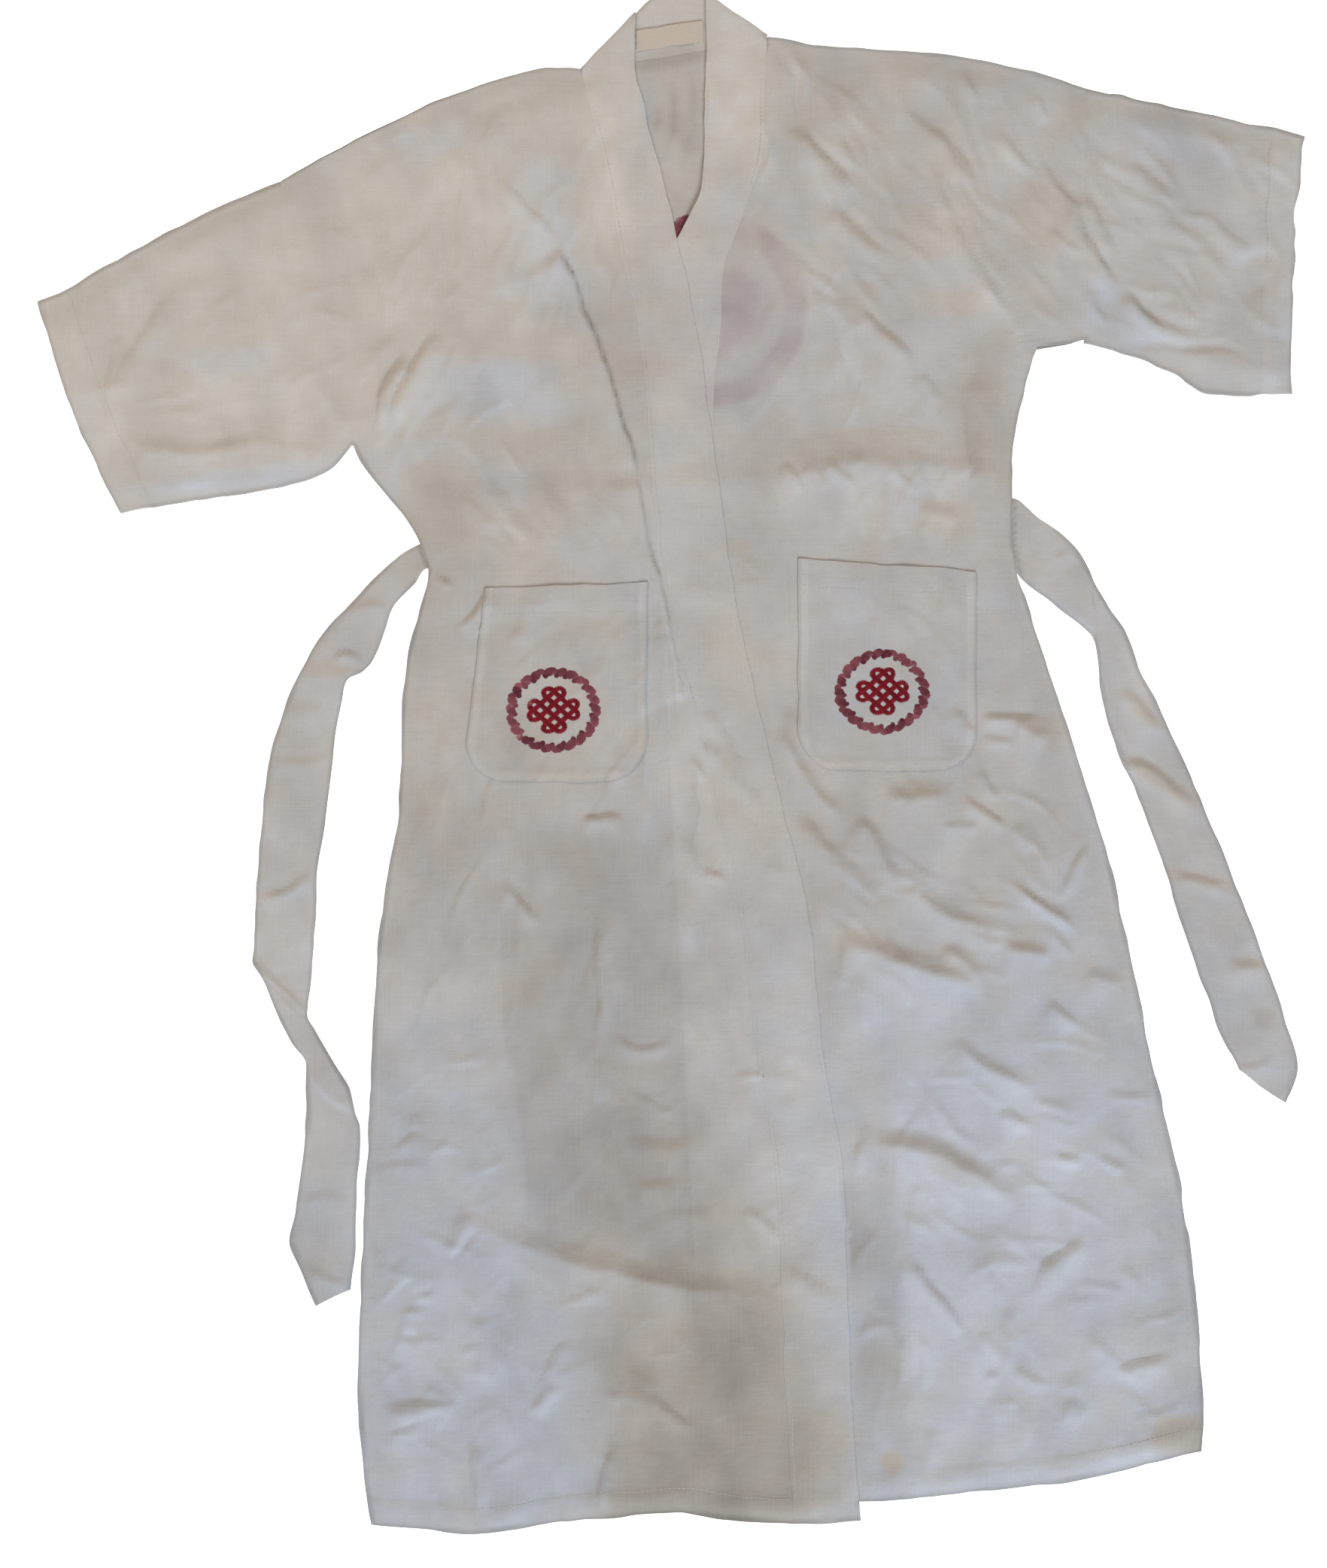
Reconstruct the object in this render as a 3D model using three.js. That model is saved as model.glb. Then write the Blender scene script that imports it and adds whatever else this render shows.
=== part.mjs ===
// A light wrap robe with patch pockets and a cloth belt, laid flat on its back with the right front on top.
// Millimetres. X runs to the wearer's left, Y from the hem to the neck, Z up from the floor that it lies on.

import * as THREE from "three";

// Driving dimensions
const CLOTH = 1.2; // thickness of one layer of cloth
const BAND_CLOTH = 1.6; // thickness of the neckband, which is sewn double
const SEAM_GAP = 0.3; // clearance between pieces that are sewn edge to edge
const LAYER_GAP = 0.3; // clearance between pieces that lie on each other
const POCKET_GAP = 0.7; // clearance of a patch pocket over the front that it is sewn to
const PANEL_STEP = { along: 34, across: 25 }; // largest steps between the points of a front
const BACK_STEP = { along: 32, across: 64 }; // largest steps between the points of the back
const BAND_STEP = 32; // largest step along the neckband
const BAND_PARTS = 3; // divisions across the neckband
const POCKET_STEP = 17; // largest step between the points of a pocket
const BELT_STEP = 40; // largest step along the belt
const NECK_ROLL = 1.2; // inner radius of the neckband's fold at each side of the neck
const NECK_ROLL_PARTS = 5; // divisions of that fold
const NECK_SETTLE = 45; // length over which the neckband comes down from the fold
const LOFT = 1.2; // how far relaxed cloth stands off the cloth below it
const FOLD_LIMIT = 4; // height that a fold, or two that cross, can't pass
const HOLLOW_SHARE = 0.55; // share of a fold's height that is hollow below; the rest is gathered cloth
const CLIMB_SLACK = 0.5; // share of its looseness that the right front keeps where it climbs the edge below
const EDGE_FADE = 30; // distance from a sewn or folded edge over which folds die out
const TOP_CLEAR = 6; // length below a front's inner corner that has no other row
const MARK_DIGITS = 4; // digits to which the marks of a divided length are kept
const MARK_GAP = 0.002; // share of a divided length within which two marks count as one
const OUTLINE_REACH = 0.16; // share of a panel's length that follows the curve of its hem or shoulder
const OVERLAP_RAMP = { from: 52, to: 26 }; // where the right front climbs onto the edge below it
const COVER_RAMP = { from: 26, to: 66 }; // how far folds stay away from the edge that covers them
const BELT_RAMP = { from: 54, to: 88 }; // where the robe comes down again beside the hidden belt
const CENTRE = { x: 0.5, y: -0.66 }; // middle of the outline in the tables below

// Side seam of the wearer's right side, hem to underarm, then the armhole up to the shoulder
const RIGHT_SIDE = [
  { x: -238, y: -610 },
  { x: -244, y: -569 },
  { x: -249, y: -500 },
  { x: -247, y: -425 },
  { x: -240, y: -281 },
  { x: -234, y: -161 },
  { x: -225, y: -89 },
  { x: -216, y: -41 },
  { x: -214, y: 30 },
  { x: -210, y: 79 },
  { x: -198, y: 125 },
  { x: -192.5, y: 151 },
  { x: -201, y: 175 },
  { x: -216, y: 199 },
  { x: -236, y: 223 },
  { x: -253, y: 251.5 },
  { x: -254.6, y: 257.5 },
  { x: -311, y: 462.5 },
];

// The same for the wearer's left side, where the shoulder runs on past the underarm
const LEFT_SIDE = [
  { x: 424, y: -551 },
  { x: 425, y: -521 },
  { x: 421, y: -449 },
  { x: 409, y: -353 },
  { x: 388, y: -257 },
  { x: 368, y: -161 },
  { x: 346, y: -65 },
  { x: 323, y: 7 },
  { x: 300, y: 79 },
  { x: 284, y: 127 },
  { x: 273, y: 172 },
  { x: 273, y: 235 },
  { x: 277, y: 271 },
  { x: 287, y: 310 },
  { x: 295, y: 330 },
  { x: 331.5, y: 334.5 },
  { x: 331.5, y: 536 },
];

// Hems, side seam to front edge
const RIGHT_HEM = [
  { x: -238, y: -610 },
  { x: -199, y: -613 },
  { x: -160, y: -617 },
  { x: -103, y: -610 },
  { x: -31, y: -602.5 },
  { x: 5, y: -599.5 },
  { x: 41, y: -604 },
  { x: 98, y: -609 },
  { x: 125, y: -606 },
  { x: 151.5, y: -606.5 },
];
const LEFT_HEM = [
  { x: 30, y: -592 },
  { x: 152, y: -591.5 },
  { x: 209, y: -587 },
  { x: 305, y: -576.5 },
  { x: 345, y: -569.5 },
  { x: 424, y: -551 },
];
const BACK_HEM = [
  { x: -238, y: -604 },
  { x: 0, y: -593 },
  { x: 152, y: -586 },
  { x: 305, y: -571 },
  { x: 424, y: -546 },
];

// Shoulders, armhole to neck on the right and neck to armhole on the left
const RIGHT_SHOULDER = [
  { x: -311, y: 462.5 },
  { x: -271, y: 486 },
  { x: -223, y: 510 },
  { x: -175, y: 531 },
  { x: -127, y: 546.5 },
  { x: -100, y: 552 },
  { x: -79, y: 552.5 },
  { x: -75.5, y: 550.5 },
];
const LEFT_SHOULDER = [
  { x: 80, y: 576 },
  { x: 89, y: 575 },
  { x: 113, y: 570 },
  { x: 185, y: 566 },
  { x: 233, y: 561 },
  { x: 281, y: 551 },
  { x: 331.5, y: 536 },
];
const NECKLINE = [
  { x: -75.5, y: 550.5 },
  { x: -29, y: 554.8 },
  { x: 28, y: 565 },
  { x: 80, y: 576 },
];

// Crossing lines of the neckband, each from its sewn edge to its free edge: the right front's, hem to neck
const OVER_BAND = [
  { sewnX: 98.5, sewnY: -609, freeX: 151.5, freeY: -606.5 },
  { sewnX: 91, sewnY: -488, freeX: 144, freeY: -488 },
  { sewnX: 84, sewnY: -332, freeX: 138, freeY: -332 },
  { sewnX: 69, sewnY: -238, freeX: 122, freeY: -238 },
  { sewnX: 54, sewnY: -113, freeX: 109, freeY: -113 },
  { sewnX: 37, sewnY: -44, freeX: 91, freeY: -44 },
  { sewnX: 17, sewnY: 44, freeX: 70, freeY: 44 },
  { sewnX: 0, sewnY: 106, freeX: 56, freeY: 106 },
  { sewnX: -9, sewnY: 162, freeX: 46.5, freeY: 160 },
  { sewnX: -13, sewnY: 204, freeX: 40, freeY: 212 },
  { sewnX: -19, sewnY: 281, freeX: 29, freeY: 287 },
  { sewnX: -26, sewnY: 344, freeX: 20, freeY: 350 },
  { sewnX: -38, sewnY: 400, freeX: 5, freeY: 417 },
  { sewnX: -49, sewnY: 458, freeX: -7, freeY: 467 },
  { sewnX: -58, sewnY: 497, freeX: -15, freeY: 497 },
  { sewnX: -65, sewnY: 525, freeX: -21.5, freeY: 523 },
  { sewnX: -69.5, sewnY: 542, freeX: -28, freeY: 554 },
  { sewnX: -71, sewnY: 551.5, freeX: -27, freeY: 596.5 },
];

// round the back of the neck, right fold to left fold
const NECK_BAND = [
  { sewnX: -71, sewnY: 551.5, freeX: -27, freeY: 596.5 },
  { sewnX: -48, sewnY: 554.3, freeX: -18, freeY: 606 },
  { sewnX: -22, sewnY: 558, freeX: -6, freeY: 613 },
  { sewnX: 8, sewnY: 563, freeX: 8, freeY: 615 },
  { sewnX: 44, sewnY: 570, freeX: 20, freeY: 615.5 },
  { sewnX: 76.5, sewnY: 577.5, freeX: 28.5, freeY: 612 },
];

// and the left front's, neck to hem, most of it hidden under the right front
const UNDER_BAND = [
  { sewnX: 76.5, sewnY: 577.5, freeX: 28.5, freeY: 612 },
  { sewnX: 76, sewnY: 560, freeX: 28.5, freeY: 572 },
  { sewnX: 75, sewnY: 532, freeX: 28, freeY: 532 },
  { sewnX: 74, sewnY: 497, freeX: 28, freeY: 493 },
  { sewnX: 68, sewnY: 461, freeX: 25, freeY: 458 },
  { sewnX: 56, sewnY: 429, freeX: 10, freeY: 425 },
  { sewnX: 43, sewnY: 391, freeX: -9, freeY: 383 },
  { sewnX: 40.5, sewnY: 345, freeX: -15, freeY: 341 },
  { sewnX: 35, sewnY: 300, freeX: -19, freeY: 296 },
  { sewnX: 34, sewnY: 247, freeX: -18.5, freeY: 245 },
  { sewnX: 43, sewnY: 150, freeX: -9.5, freeY: 149 },
  { sewnX: 52, sewnY: 6, freeX: -0.5, freeY: 6 },
  { sewnX: 61.5, sewnY: -173, freeX: 8.5, freeY: -173 },
  { sewnX: 73.5, sewnY: -413, freeX: 20.5, freeY: -413 },
  { sewnX: 86.5, sewnY: -592, freeX: 33.5, freeY: -592 },
];

// Sleeve outlines, by rising X
const RIGHT_SLEEVE = {
  cuffEnd: 0, // the end of the outline that the cuff is at
  cuffBow: -6, // how far the middle of the cuff lies outside its corners, along X
  upper: [
    { x: -504, y: 366 },
    { x: -487, y: 373 },
    { x: -463, y: 386.5 },
    { x: -415, y: 413.5 },
    { x: -367, y: 438.5 },
    { x: -311.5, y: 462 },
  ],
  lower: [
    { x: -438, y: 196 },
    { x: -415, y: 201.5 },
    { x: -367, y: 209 },
    { x: -319, y: 216 },
    { x: -294, y: 221.5 },
    { x: -271, y: 231.5 },
    { x: -254, y: 251 },
  ],
};
const LEFT_SLEEVE = {
  cuffEnd: 1,
  cuffBow: -3,
  upper: [
    { x: 332, y: 536 },
    { x: 377, y: 525.5 },
    { x: 425, y: 516.5 },
    { x: 473, y: 506.5 },
    { x: 505, y: 499 },
  ],
  lower: [
    { x: 332, y: 331.5 },
    { x: 377, y: 319.5 },
    { x: 401, y: 308.5 },
    { x: 425, y: 294.5 },
    { x: 473, y: 290.5 },
    { x: 495, y: 290.5 },
  ],
};
const SLEEVE_STATIONS = 9;
const SLEEVE_PARTS = 10; // divisions across each side of a sleeve
const SLEEVE_EDGE = 2; // width of the bend at a sleeve's folded edges

// Largest folds: a ridge from one point to the other, bowed sideways by its sag, and its height before the limit
const FOLDS = [
  { x1: -100, y1: 410, x2: -30, y2: 185, sag: 6, width: 22, height: 6.5 },
  { x1: -232, y1: 262, x2: -172, y2: 362, sag: 5, width: 20, height: 5 },
  { x1: -232, y1: 240, x2: -120, y2: 300, sag: -8, width: 22, height: 4 },
  { x1: -134, y1: -110, x2: -138, y2: -560, sag: 8, width: 28, height: 3.5 },
  { x1: -56, y1: -200, x2: -50, y2: -560, sag: -6, width: 26, height: 3.5 },
  { x1: -128, y1: -262, x2: -8, y2: -424, sag: -30, width: 22, height: 4 },
  { x1: -196, y1: -60, x2: -206, y2: -420, sag: 5, width: 22, height: 3 },
  { x1: 100, y1: 545, x2: 165, y2: 330, sag: 10, width: 24, height: 4 },
  { x1: 150, y1: 545, x2: 250, y2: 380, sag: 8, width: 24, height: 4 },
  { x1: 150, y1: -120, x2: 300, y2: -166, sag: -8, width: 22, height: 5 },
  { x1: 165, y1: -292, x2: 290, y2: -342, sag: 8, width: 22, height: 5 },
  { x1: 186, y1: -392, x2: 244, y2: -478, sag: -6, width: 20, height: 5 },
  { x1: 232, y1: -218, x2: 330, y2: -258, sag: 6, width: 20, height: 4 },
  { x1: 276, y1: -460, x2: 348, y2: -384, sag: 6, width: 20, height: 4.5 },
  { x1: 300, y1: -110, x2: 334, y2: -40, sag: 4, width: 20, height: 3.5 },
  { x1: 345, y1: 470, x2: 430, y2: 345, sag: 6, width: 22, height: 4 },
  { x1: 352, y1: 500, x2: 478, y2: 420, sag: -6, width: 22, height: 3 },
  { x1: -300, y1: 400, x2: -425, y2: 290, sag: 8, width: 24, height: 4 },
  { x1: -290, y1: 300, x2: -420, y2: 232, sag: -6, width: 20, height: 3 },
];

// Patch pockets by their corners, with round lower corners
const RIGHT_POCKET = {
  lowerLeft: { x: -166, y: -17 },
  lowerRight: { x: -19, y: -18 },
  upperRight: { x: -18, y: 141 },
  upperLeft: { x: -147, y: 137 },
};
const LEFT_POCKET = {
  lowerLeft: { x: 101, y: -9 },
  lowerRight: { x: 244, y: -9 },
  upperRight: { x: 243, y: 150.5 },
  upperLeft: { x: 102.5, y: 161 },
};
const POCKET_CORNER = 34; // radius of the round corners
const POCKET_CORNER_PARTS = 4;

// Woven label on the inside of the neckband
const LABEL = { x: 0, y: 577.5, width: 52, height: 17, tilt: 0.16, thickness: 1 };

// The belt's two edges, from the tip of its right end, under the robe, to the tip of its left end
const BELT = [
  { leftX: -282, leftY: -435, rightX: -255, rightY: -422, layers: 1 },
  { leftX: -296, leftY: -403, rightX: -251.5, rightY: -396, layers: 1 },
  { leftX: -303, leftY: -384, rightX: -251.5, rightY: -386, layers: 1 },
  { leftX: -299, leftY: -361, rightX: -250.5, rightY: -361, layers: 1 },
  { leftX: -295, leftY: -333, rightX: -249.5, rightY: -333, layers: 1 },
  { leftX: -291, leftY: -298, rightX: -247, rightY: -293, layers: 1 },
  { leftX: -289, leftY: -277, rightX: -251, rightY: -281, layers: 1 },
  { leftX: -290, leftY: -261, rightX: -256, rightY: -263, layers: 2 },
  { leftX: -291, leftY: -244, rightX: -267, rightY: -244, layers: 2 },
  { leftX: -303, leftY: -223, rightX: -281, rightY: -220, layers: 2 },
  { leftX: -316, leftY: -197, rightX: -289, rightY: -204, layers: 2 },
  { leftX: -325, leftY: -175, rightX: -288, rightY: -194, layers: 2 },
  { leftX: -333, leftY: -160, rightX: -286, rightY: -178, layers: 1 },
  { leftX: -331, leftY: -118, rightX: -282.5, rightY: -122, layers: 1 },
  { leftX: -328, leftY: -83, rightX: -281, rightY: -83, layers: 1 },
  { leftX: -326, leftY: -49, rightX: -275.5, rightY: -53, layers: 1 },
  { leftX: -317.5, leftY: 11, rightX: -268, rightY: 11, layers: 1 },
  { leftX: -310, leftY: 34, rightX: -264, rightY: 37, layers: 1 },
  { leftX: -298.5, leftY: 64, rightX: -257, rightY: 64, layers: 1 },
  { leftX: -285, leftY: 90, rightX: -243.5, rightY: 72, layers: 1 },
  { leftX: -271, leftY: 108.5, rightX: -236, rightY: 81, layers: 1 },
  { leftX: -254, leftY: 125.5, rightX: -228, rightY: 101, layers: 1 },
  { leftX: -233, leftY: 148, rightX: -220.5, rightY: 122.5, layers: 1 },
  { leftX: -217, leftY: 163.5, rightX: -203.5, rightY: 142, layers: 1 },
  { leftX: -199, leftY: 173, rightX: -193, rightY: 153, layers: 1 },
  { leftX: -170, leftY: 183, rightX: -170, rightY: 153, layers: 1 },
  { leftX: -110, leftY: 190, rightX: -110, rightY: 144, layers: 1 },
  { leftX: 0, leftY: 199, rightX: 0, rightY: 151, layers: 1 },
  { leftX: 110, leftY: 206, rightX: 110, rightY: 158, layers: 1 },
  { leftX: 205, leftY: 212, rightX: 203, rightY: 165, layers: 1 },
  { leftX: 273, leftY: 209, rightX: 251, rightY: 167, layers: 1 },
  { leftX: 293, leftY: 194, rightX: 266, rightY: 160, layers: 1 },
  { leftX: 308, leftY: 184, rightX: 284, rightY: 142, layers: 1 },
  { leftX: 323, leftY: 169, rightX: 303, rightY: 127, layers: 1 },
  { leftX: 333, leftY: 153, rightX: 320, rightY: 113, layers: 1 },
  { leftX: 337, leftY: 144, rightX: 337, rightY: 98, layers: 2 },
  { leftX: 348.5, leftY: 123, rightX: 339, rightY: 92, layers: 2 },
  { leftX: 363, leftY: 103, rightX: 340, rightY: 83, layers: 2 },
  { leftX: 373, leftY: 74, rightX: 341, rightY: 69, layers: 1 },
  { leftX: 389, leftY: 43, rightX: 347.5, rightY: 34, layers: 1 },
  { leftX: 404, leftY: 10, rightX: 361.5, rightY: -3, layers: 1 },
  { leftX: 419, leftY: -21, rightX: 373, rightY: -31, layers: 1 },
  { leftX: 437, leftY: -65, rightX: 390, rightY: -77, layers: 1 },
  { leftX: 456.5, leftY: -113, rightX: 407, rightY: -128, layers: 1 },
  { leftX: 474, leftY: -161, rightX: 423, rightY: -176, layers: 1 },
  { leftX: 491, leftY: -209, rightX: 440, rightY: -221, layers: 1 },
  { leftX: 500, leftY: -245, rightX: 448, rightY: -237, layers: 1 },
  { leftX: 491, leftY: -273, rightX: 453, rightY: -247, layers: 1 },
];
const BELT_MIDDLE = [
  { x: -320, y: 150 },
  { x: -193, y: 163 },
  { x: 0, y: 175 },
  { x: 205, y: 188 },
  { x: 300, y: 168 },
];

// Small maths

const mix = (a, b, t) => a + (b - a) * t;

/** Smooth step from 0 at one edge to 1 at the other; the edges may come in either order. */
function ramp(from, to, value) {
  const t = THREE.MathUtils.clamp((value - from) / (to - from), 0, 1);
  return t * t * (3 - 2 * t);
}

/** Slope of a table's value at a row, set so that the curve through the rows never overshoots. */
function slope(table, along, value, row) {
  const rise = (i) =>
    (table[i + 1][value] - table[i][value]) / (table[i + 1][along] - table[i][along]);
  if (row === 0) return rise(0);
  if (row === table.length - 1) return rise(row - 1);
  const before = rise(row - 1);
  const after = rise(row);
  return before * after <= 0 ? 0 : (2 * before * after) / (before + after);
}

/** A table's value at a place along its rising column. */
function read(table, along, value, place) {
  const last = table.length - 2;
  let row = 0;
  while (row < last && table[row + 1][along] < place) row += 1;
  const start = table[row];
  const end = table[row + 1];
  const span = end[along] - start[along];
  const t = THREE.MathUtils.clamp((place - start[along]) / span, 0, 1);
  const bendOut = t * (1 - t) * (1 - t) * span * slope(table, along, value, row);
  const bendIn = t * t * (t - 1) * span * slope(table, along, value, row + 1);
  return mix(start[value], end[value], t * t * (3 - 2 * t)) + bendOut + bendIn;
}

/** Fractions from 0 to 1 that hold every mark, with no step longer than the spacing on the given length. */
function divide(marks, length, spacing) {
  const sorted = [...new Set([0, ...marks, 1].map((m) => Number(m.toFixed(MARK_DIGITS))))].sort((a, b) => a - b);
  const kept = sorted.filter((m, i) => i === 0 || m === 1 || m - sorted[i - 1] > MARK_GAP);
  const out = [0];
  for (let i = 1; i < kept.length; i += 1) {
    const parts = Math.max(1, Math.ceil(((kept[i] - kept[i - 1]) * length) / spacing));
    for (let k = 1; k <= parts; k += 1) out.push(mix(kept[i - 1], kept[i], k / parts));
  }
  return out;
}

// Heights

/** Height of the folds where nothing holds them down. */
function foldHeight(x, y) {
  let height = 0;
  for (const fold of FOLDS) {
    const dx = fold.x2 - fold.x1;
    const dy = fold.y2 - fold.y1;
    const length = Math.hypot(dx, dy);
    const along = ((x - fold.x1) * dx + (y - fold.y1) * dy) / length;
    const t = THREE.MathUtils.clamp(along / length, 0, 1);
    const aside = ((x - fold.x1) * dy - (y - fold.y1) * dx) / length - fold.sag * 4 * t * (1 - t);
    const past = along - t * length;
    height += fold.height * Math.exp(-(aside * aside + past * past) / (fold.width * fold.width));
  }
  return FOLD_LIMIT * Math.tanh(height / FOLD_LIMIT);
}

/** How far the hidden belt lifts everything that lies over it. */
function beltLift(x, y) {
  const away = Math.abs(y - read(BELT_MIDDLE, "x", "y", x));
  return (CLOTH + LAYER_GAP) * (1 - ramp(BELT_RAMP.from, BELT_RAMP.to, away));
}

const byRisingY = (rows, x, y) =>
  rows.map((row) => ({ x: row[x], y: row[y] })).sort((a, b) => a.y - b.y);
const UNDER_EDGE = byRisingY(UNDER_BAND, "freeX", "freeY");
const OVER_EDGE = byRisingY(OVER_BAND, "freeX", "freeY");

/** Lower and upper face of one layer of cloth over a base, as far as it is free to fold. */
function layerFaces(base, x, y, free, slack) {
  const fold = foldHeight(x, y) * free;
  const low = base + (LOFT * free + HOLLOW_SHARE * fold) * slack;
  return { low, high: low + CLOTH + (1 - HOLLOW_SHARE) * fold };
}

/** Faces of a piece of the left front, whose folds stay clear of what covers its edge. */
function underFaces({ x, y, fade }) {
  const bare = x - read(OVER_EDGE, "y", "x", y);
  const free = fade * ramp(COVER_RAMP.from, COVER_RAMP.to, bare);
  return layerFaces(CLOTH + LAYER_GAP + beltLift(x, y), x, y, free, 1);
}

/** Faces of a piece of the right front, which climbs onto the left front's edge. */
function overFaces({ x, y, fade }) {
  const short = read(UNDER_EDGE, "y", "x", y) - x;
  const climb = ramp(OVERLAP_RAMP.from, OVERLAP_RAMP.to, short);
  const base = CLOTH + LAYER_GAP + beltLift(x, y) + climb * (BAND_CLOTH + LAYER_GAP);
  return layerFaces(base, x, y, fade, mix(1, CLIMB_SLACK, climb));
}

/** Faces of the back, flat on the floor but for the belt under it. */
function backFaces({ x, y }) {
  const low = beltLift(x, y);
  return { low, high: low + CLOTH };
}

// Closed bodies

/** A BufferGeometry from points and triangles. */
function solid(points, triangles) {
  const geometry = new THREE.BufferGeometry();
  const numbers = points.flatMap((p) => [p.x, p.y, p.z]);
  geometry.setAttribute("position", new THREE.Float32BufferAttribute(numbers, 3));
  geometry.setIndex(triangles);
  geometry.computeVertexNormals();
  return geometry;
}

/** A closed body between two grids of points, whose rows run along +Y and columns along +X seen from above. */
function slab(lower, upper) {
  const rows = lower.length;
  const columns = lower[0].length;
  const points = [...lower.flat(), ...upper.flat()];
  const low = (i, j) => i * columns + j;
  const high = (i, j) => rows * columns + low(i, j);
  const triangles = [];
  const quad = (a, b, c, d) => triangles.push(a, b, c, a, c, d);
  for (let i = 0; i < rows - 1; i += 1) {
    for (let j = 0; j < columns - 1; j += 1) {
      quad(high(i, j), high(i, j + 1), high(i + 1, j + 1), high(i + 1, j));
      quad(low(i, j), low(i + 1, j), low(i + 1, j + 1), low(i, j + 1));
    }
    quad(low(i, 0), high(i, 0), high(i + 1, 0), low(i + 1, 0));
    quad(low(i, columns - 1), low(i + 1, columns - 1), high(i + 1, columns - 1), high(i, columns - 1));
  }
  for (let j = 0; j < columns - 1; j += 1) {
    quad(low(0, j), low(0, j + 1), high(0, j + 1), high(0, j));
    quad(low(rows - 1, j), high(rows - 1, j), high(rows - 1, j + 1), low(rows - 1, j + 1));
  }
  return solid(points, triangles);
}

/** The wall between two stacks of rings, open at both ends; the stacks run along +X. */
function tube(outer, inner) {
  const stations = outer.length;
  const around = outer[0].length;
  const points = [...outer.flat(), ...inner.flat()];
  const out = (i, k) => i * around + (k % around);
  const into = (i, k) => stations * around + out(i, k);
  const triangles = [];
  const quad = (a, b, c, d) => triangles.push(a, b, c, a, c, d);
  for (let k = 0; k < around; k += 1) {
    for (let i = 0; i < stations - 1; i += 1) {
      quad(out(i, k), out(i + 1, k), out(i + 1, k + 1), out(i, k + 1));
      quad(into(i, k), into(i, k + 1), into(i + 1, k + 1), into(i + 1, k));
    }
    quad(out(0, k), out(0, k + 1), into(0, k + 1), into(0, k));
    const end = stations - 1;
    quad(out(end, k), into(end, k), into(end, k + 1), out(end, k + 1));
  }
  return solid(points, triangles);
}

/** A wall over a grid of plan points, between the faces worked out at each. */
function wall(grid, faces) {
  const lower = grid.map((row) => row.map((p) => new THREE.Vector3(p.x, p.y, faces(p).low)));
  const upper = grid.map((row) => row.map((p) => new THREE.Vector3(p.x, p.y, faces(p).high)));
  return slab(lower, upper);
}

// Panels

/** A point of a side seam at a fraction of its height. */
function sidePoint(side, fraction) {
  const y = mix(side[0].y, side[side.length - 1].y, fraction);
  return { x: read(side, "y", "x", y), y };
}

/** Fractions of a side seam's height at which its table has a row. */
function sideMarks(side) {
  const span = side[side.length - 1].y - side[0].y;
  return side.map((row) => (row.y - side[0].y) / span);
}

/**
 * Plan points of a panel between two side seams, each with how free its cloth is to fold there.
 * The first and last rows follow the hem and the shoulder. Folds die out at the edges named in held.
 */
function panelGrid({ left, right, hem, shoulder, held, marks = [], steps }) {
  const length = right[right.length - 1].y - right[0].y;
  const levels = divide([...sideMarks(left), ...sideMarks(right)], length, steps.along);
  const widest = right[0].x - left[0].x;
  const columns = divide(marks, widest, steps.across);
  return levels.map((v) => {
    const a = sidePoint(left, v);
    const b = sidePoint(right, v);
    const width = b.x - a.x;
    return columns.map((u) => {
      const lowX = mix(left[0].x, right[0].x, u);
      const lowBow = read(hem, "x", "y", lowX) - mix(left[0].y, right[0].y, u);
      const highLeft = left[left.length - 1];
      const highRight = right[right.length - 1];
      const highX = mix(highLeft.x, highRight.x, u);
      const highBow = read(shoulder, "x", "y", highX) - mix(highLeft.y, highRight.y, u);
      const bow = lowBow * ramp(OUTLINE_REACH, 0, v) + highBow * ramp(1 - OUTLINE_REACH, 1, v);
      const near = [v * length, (1 - v) * length];
      if (held.left) near.push(u * width);
      if (held.right) near.push((1 - u) * width);
      const fade = ramp(0, EDGE_FADE, Math.min(...near));
      return { x: mix(a.x, b.x, u), y: mix(a.y, b.y, u) + bow, fade };
    });
  });
}

/** A front's edge beside the neckband's sewn edge, by rising Y. */
function besideBand(band, shift, top) {
  const rows = byRisingY(bandLines(band), "sewnX", "sewnY").filter((row) => row.y < top.y - TOP_CLEAR);
  return [...rows.map((row) => ({ x: row.x + shift, y: row.y })), top];
}

const RIGHT_FRONT_GRID = panelGrid({
  left: RIGHT_SIDE,
  right: besideBand(OVER_BAND, -SEAM_GAP, RIGHT_SHOULDER[RIGHT_SHOULDER.length - 1]),
  hem: RIGHT_HEM,
  shoulder: RIGHT_SHOULDER,
  held: { left: true, right: false },
  steps: PANEL_STEP,
});
const LEFT_FRONT_GRID = panelGrid({
  left: besideBand(UNDER_BAND, SEAM_GAP, LEFT_SHOULDER[0]),
  right: LEFT_SIDE,
  hem: LEFT_HEM,
  shoulder: LEFT_SHOULDER,
  held: { left: false, right: true },
  steps: PANEL_STEP,
});

/** The right front, on top. */
function rightFront() {
  return wall(RIGHT_FRONT_GRID, overFaces);
}

/** The left front, under the right one. */
function leftFront() {
  return wall(LEFT_FRONT_GRID, underFaces);
}

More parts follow.
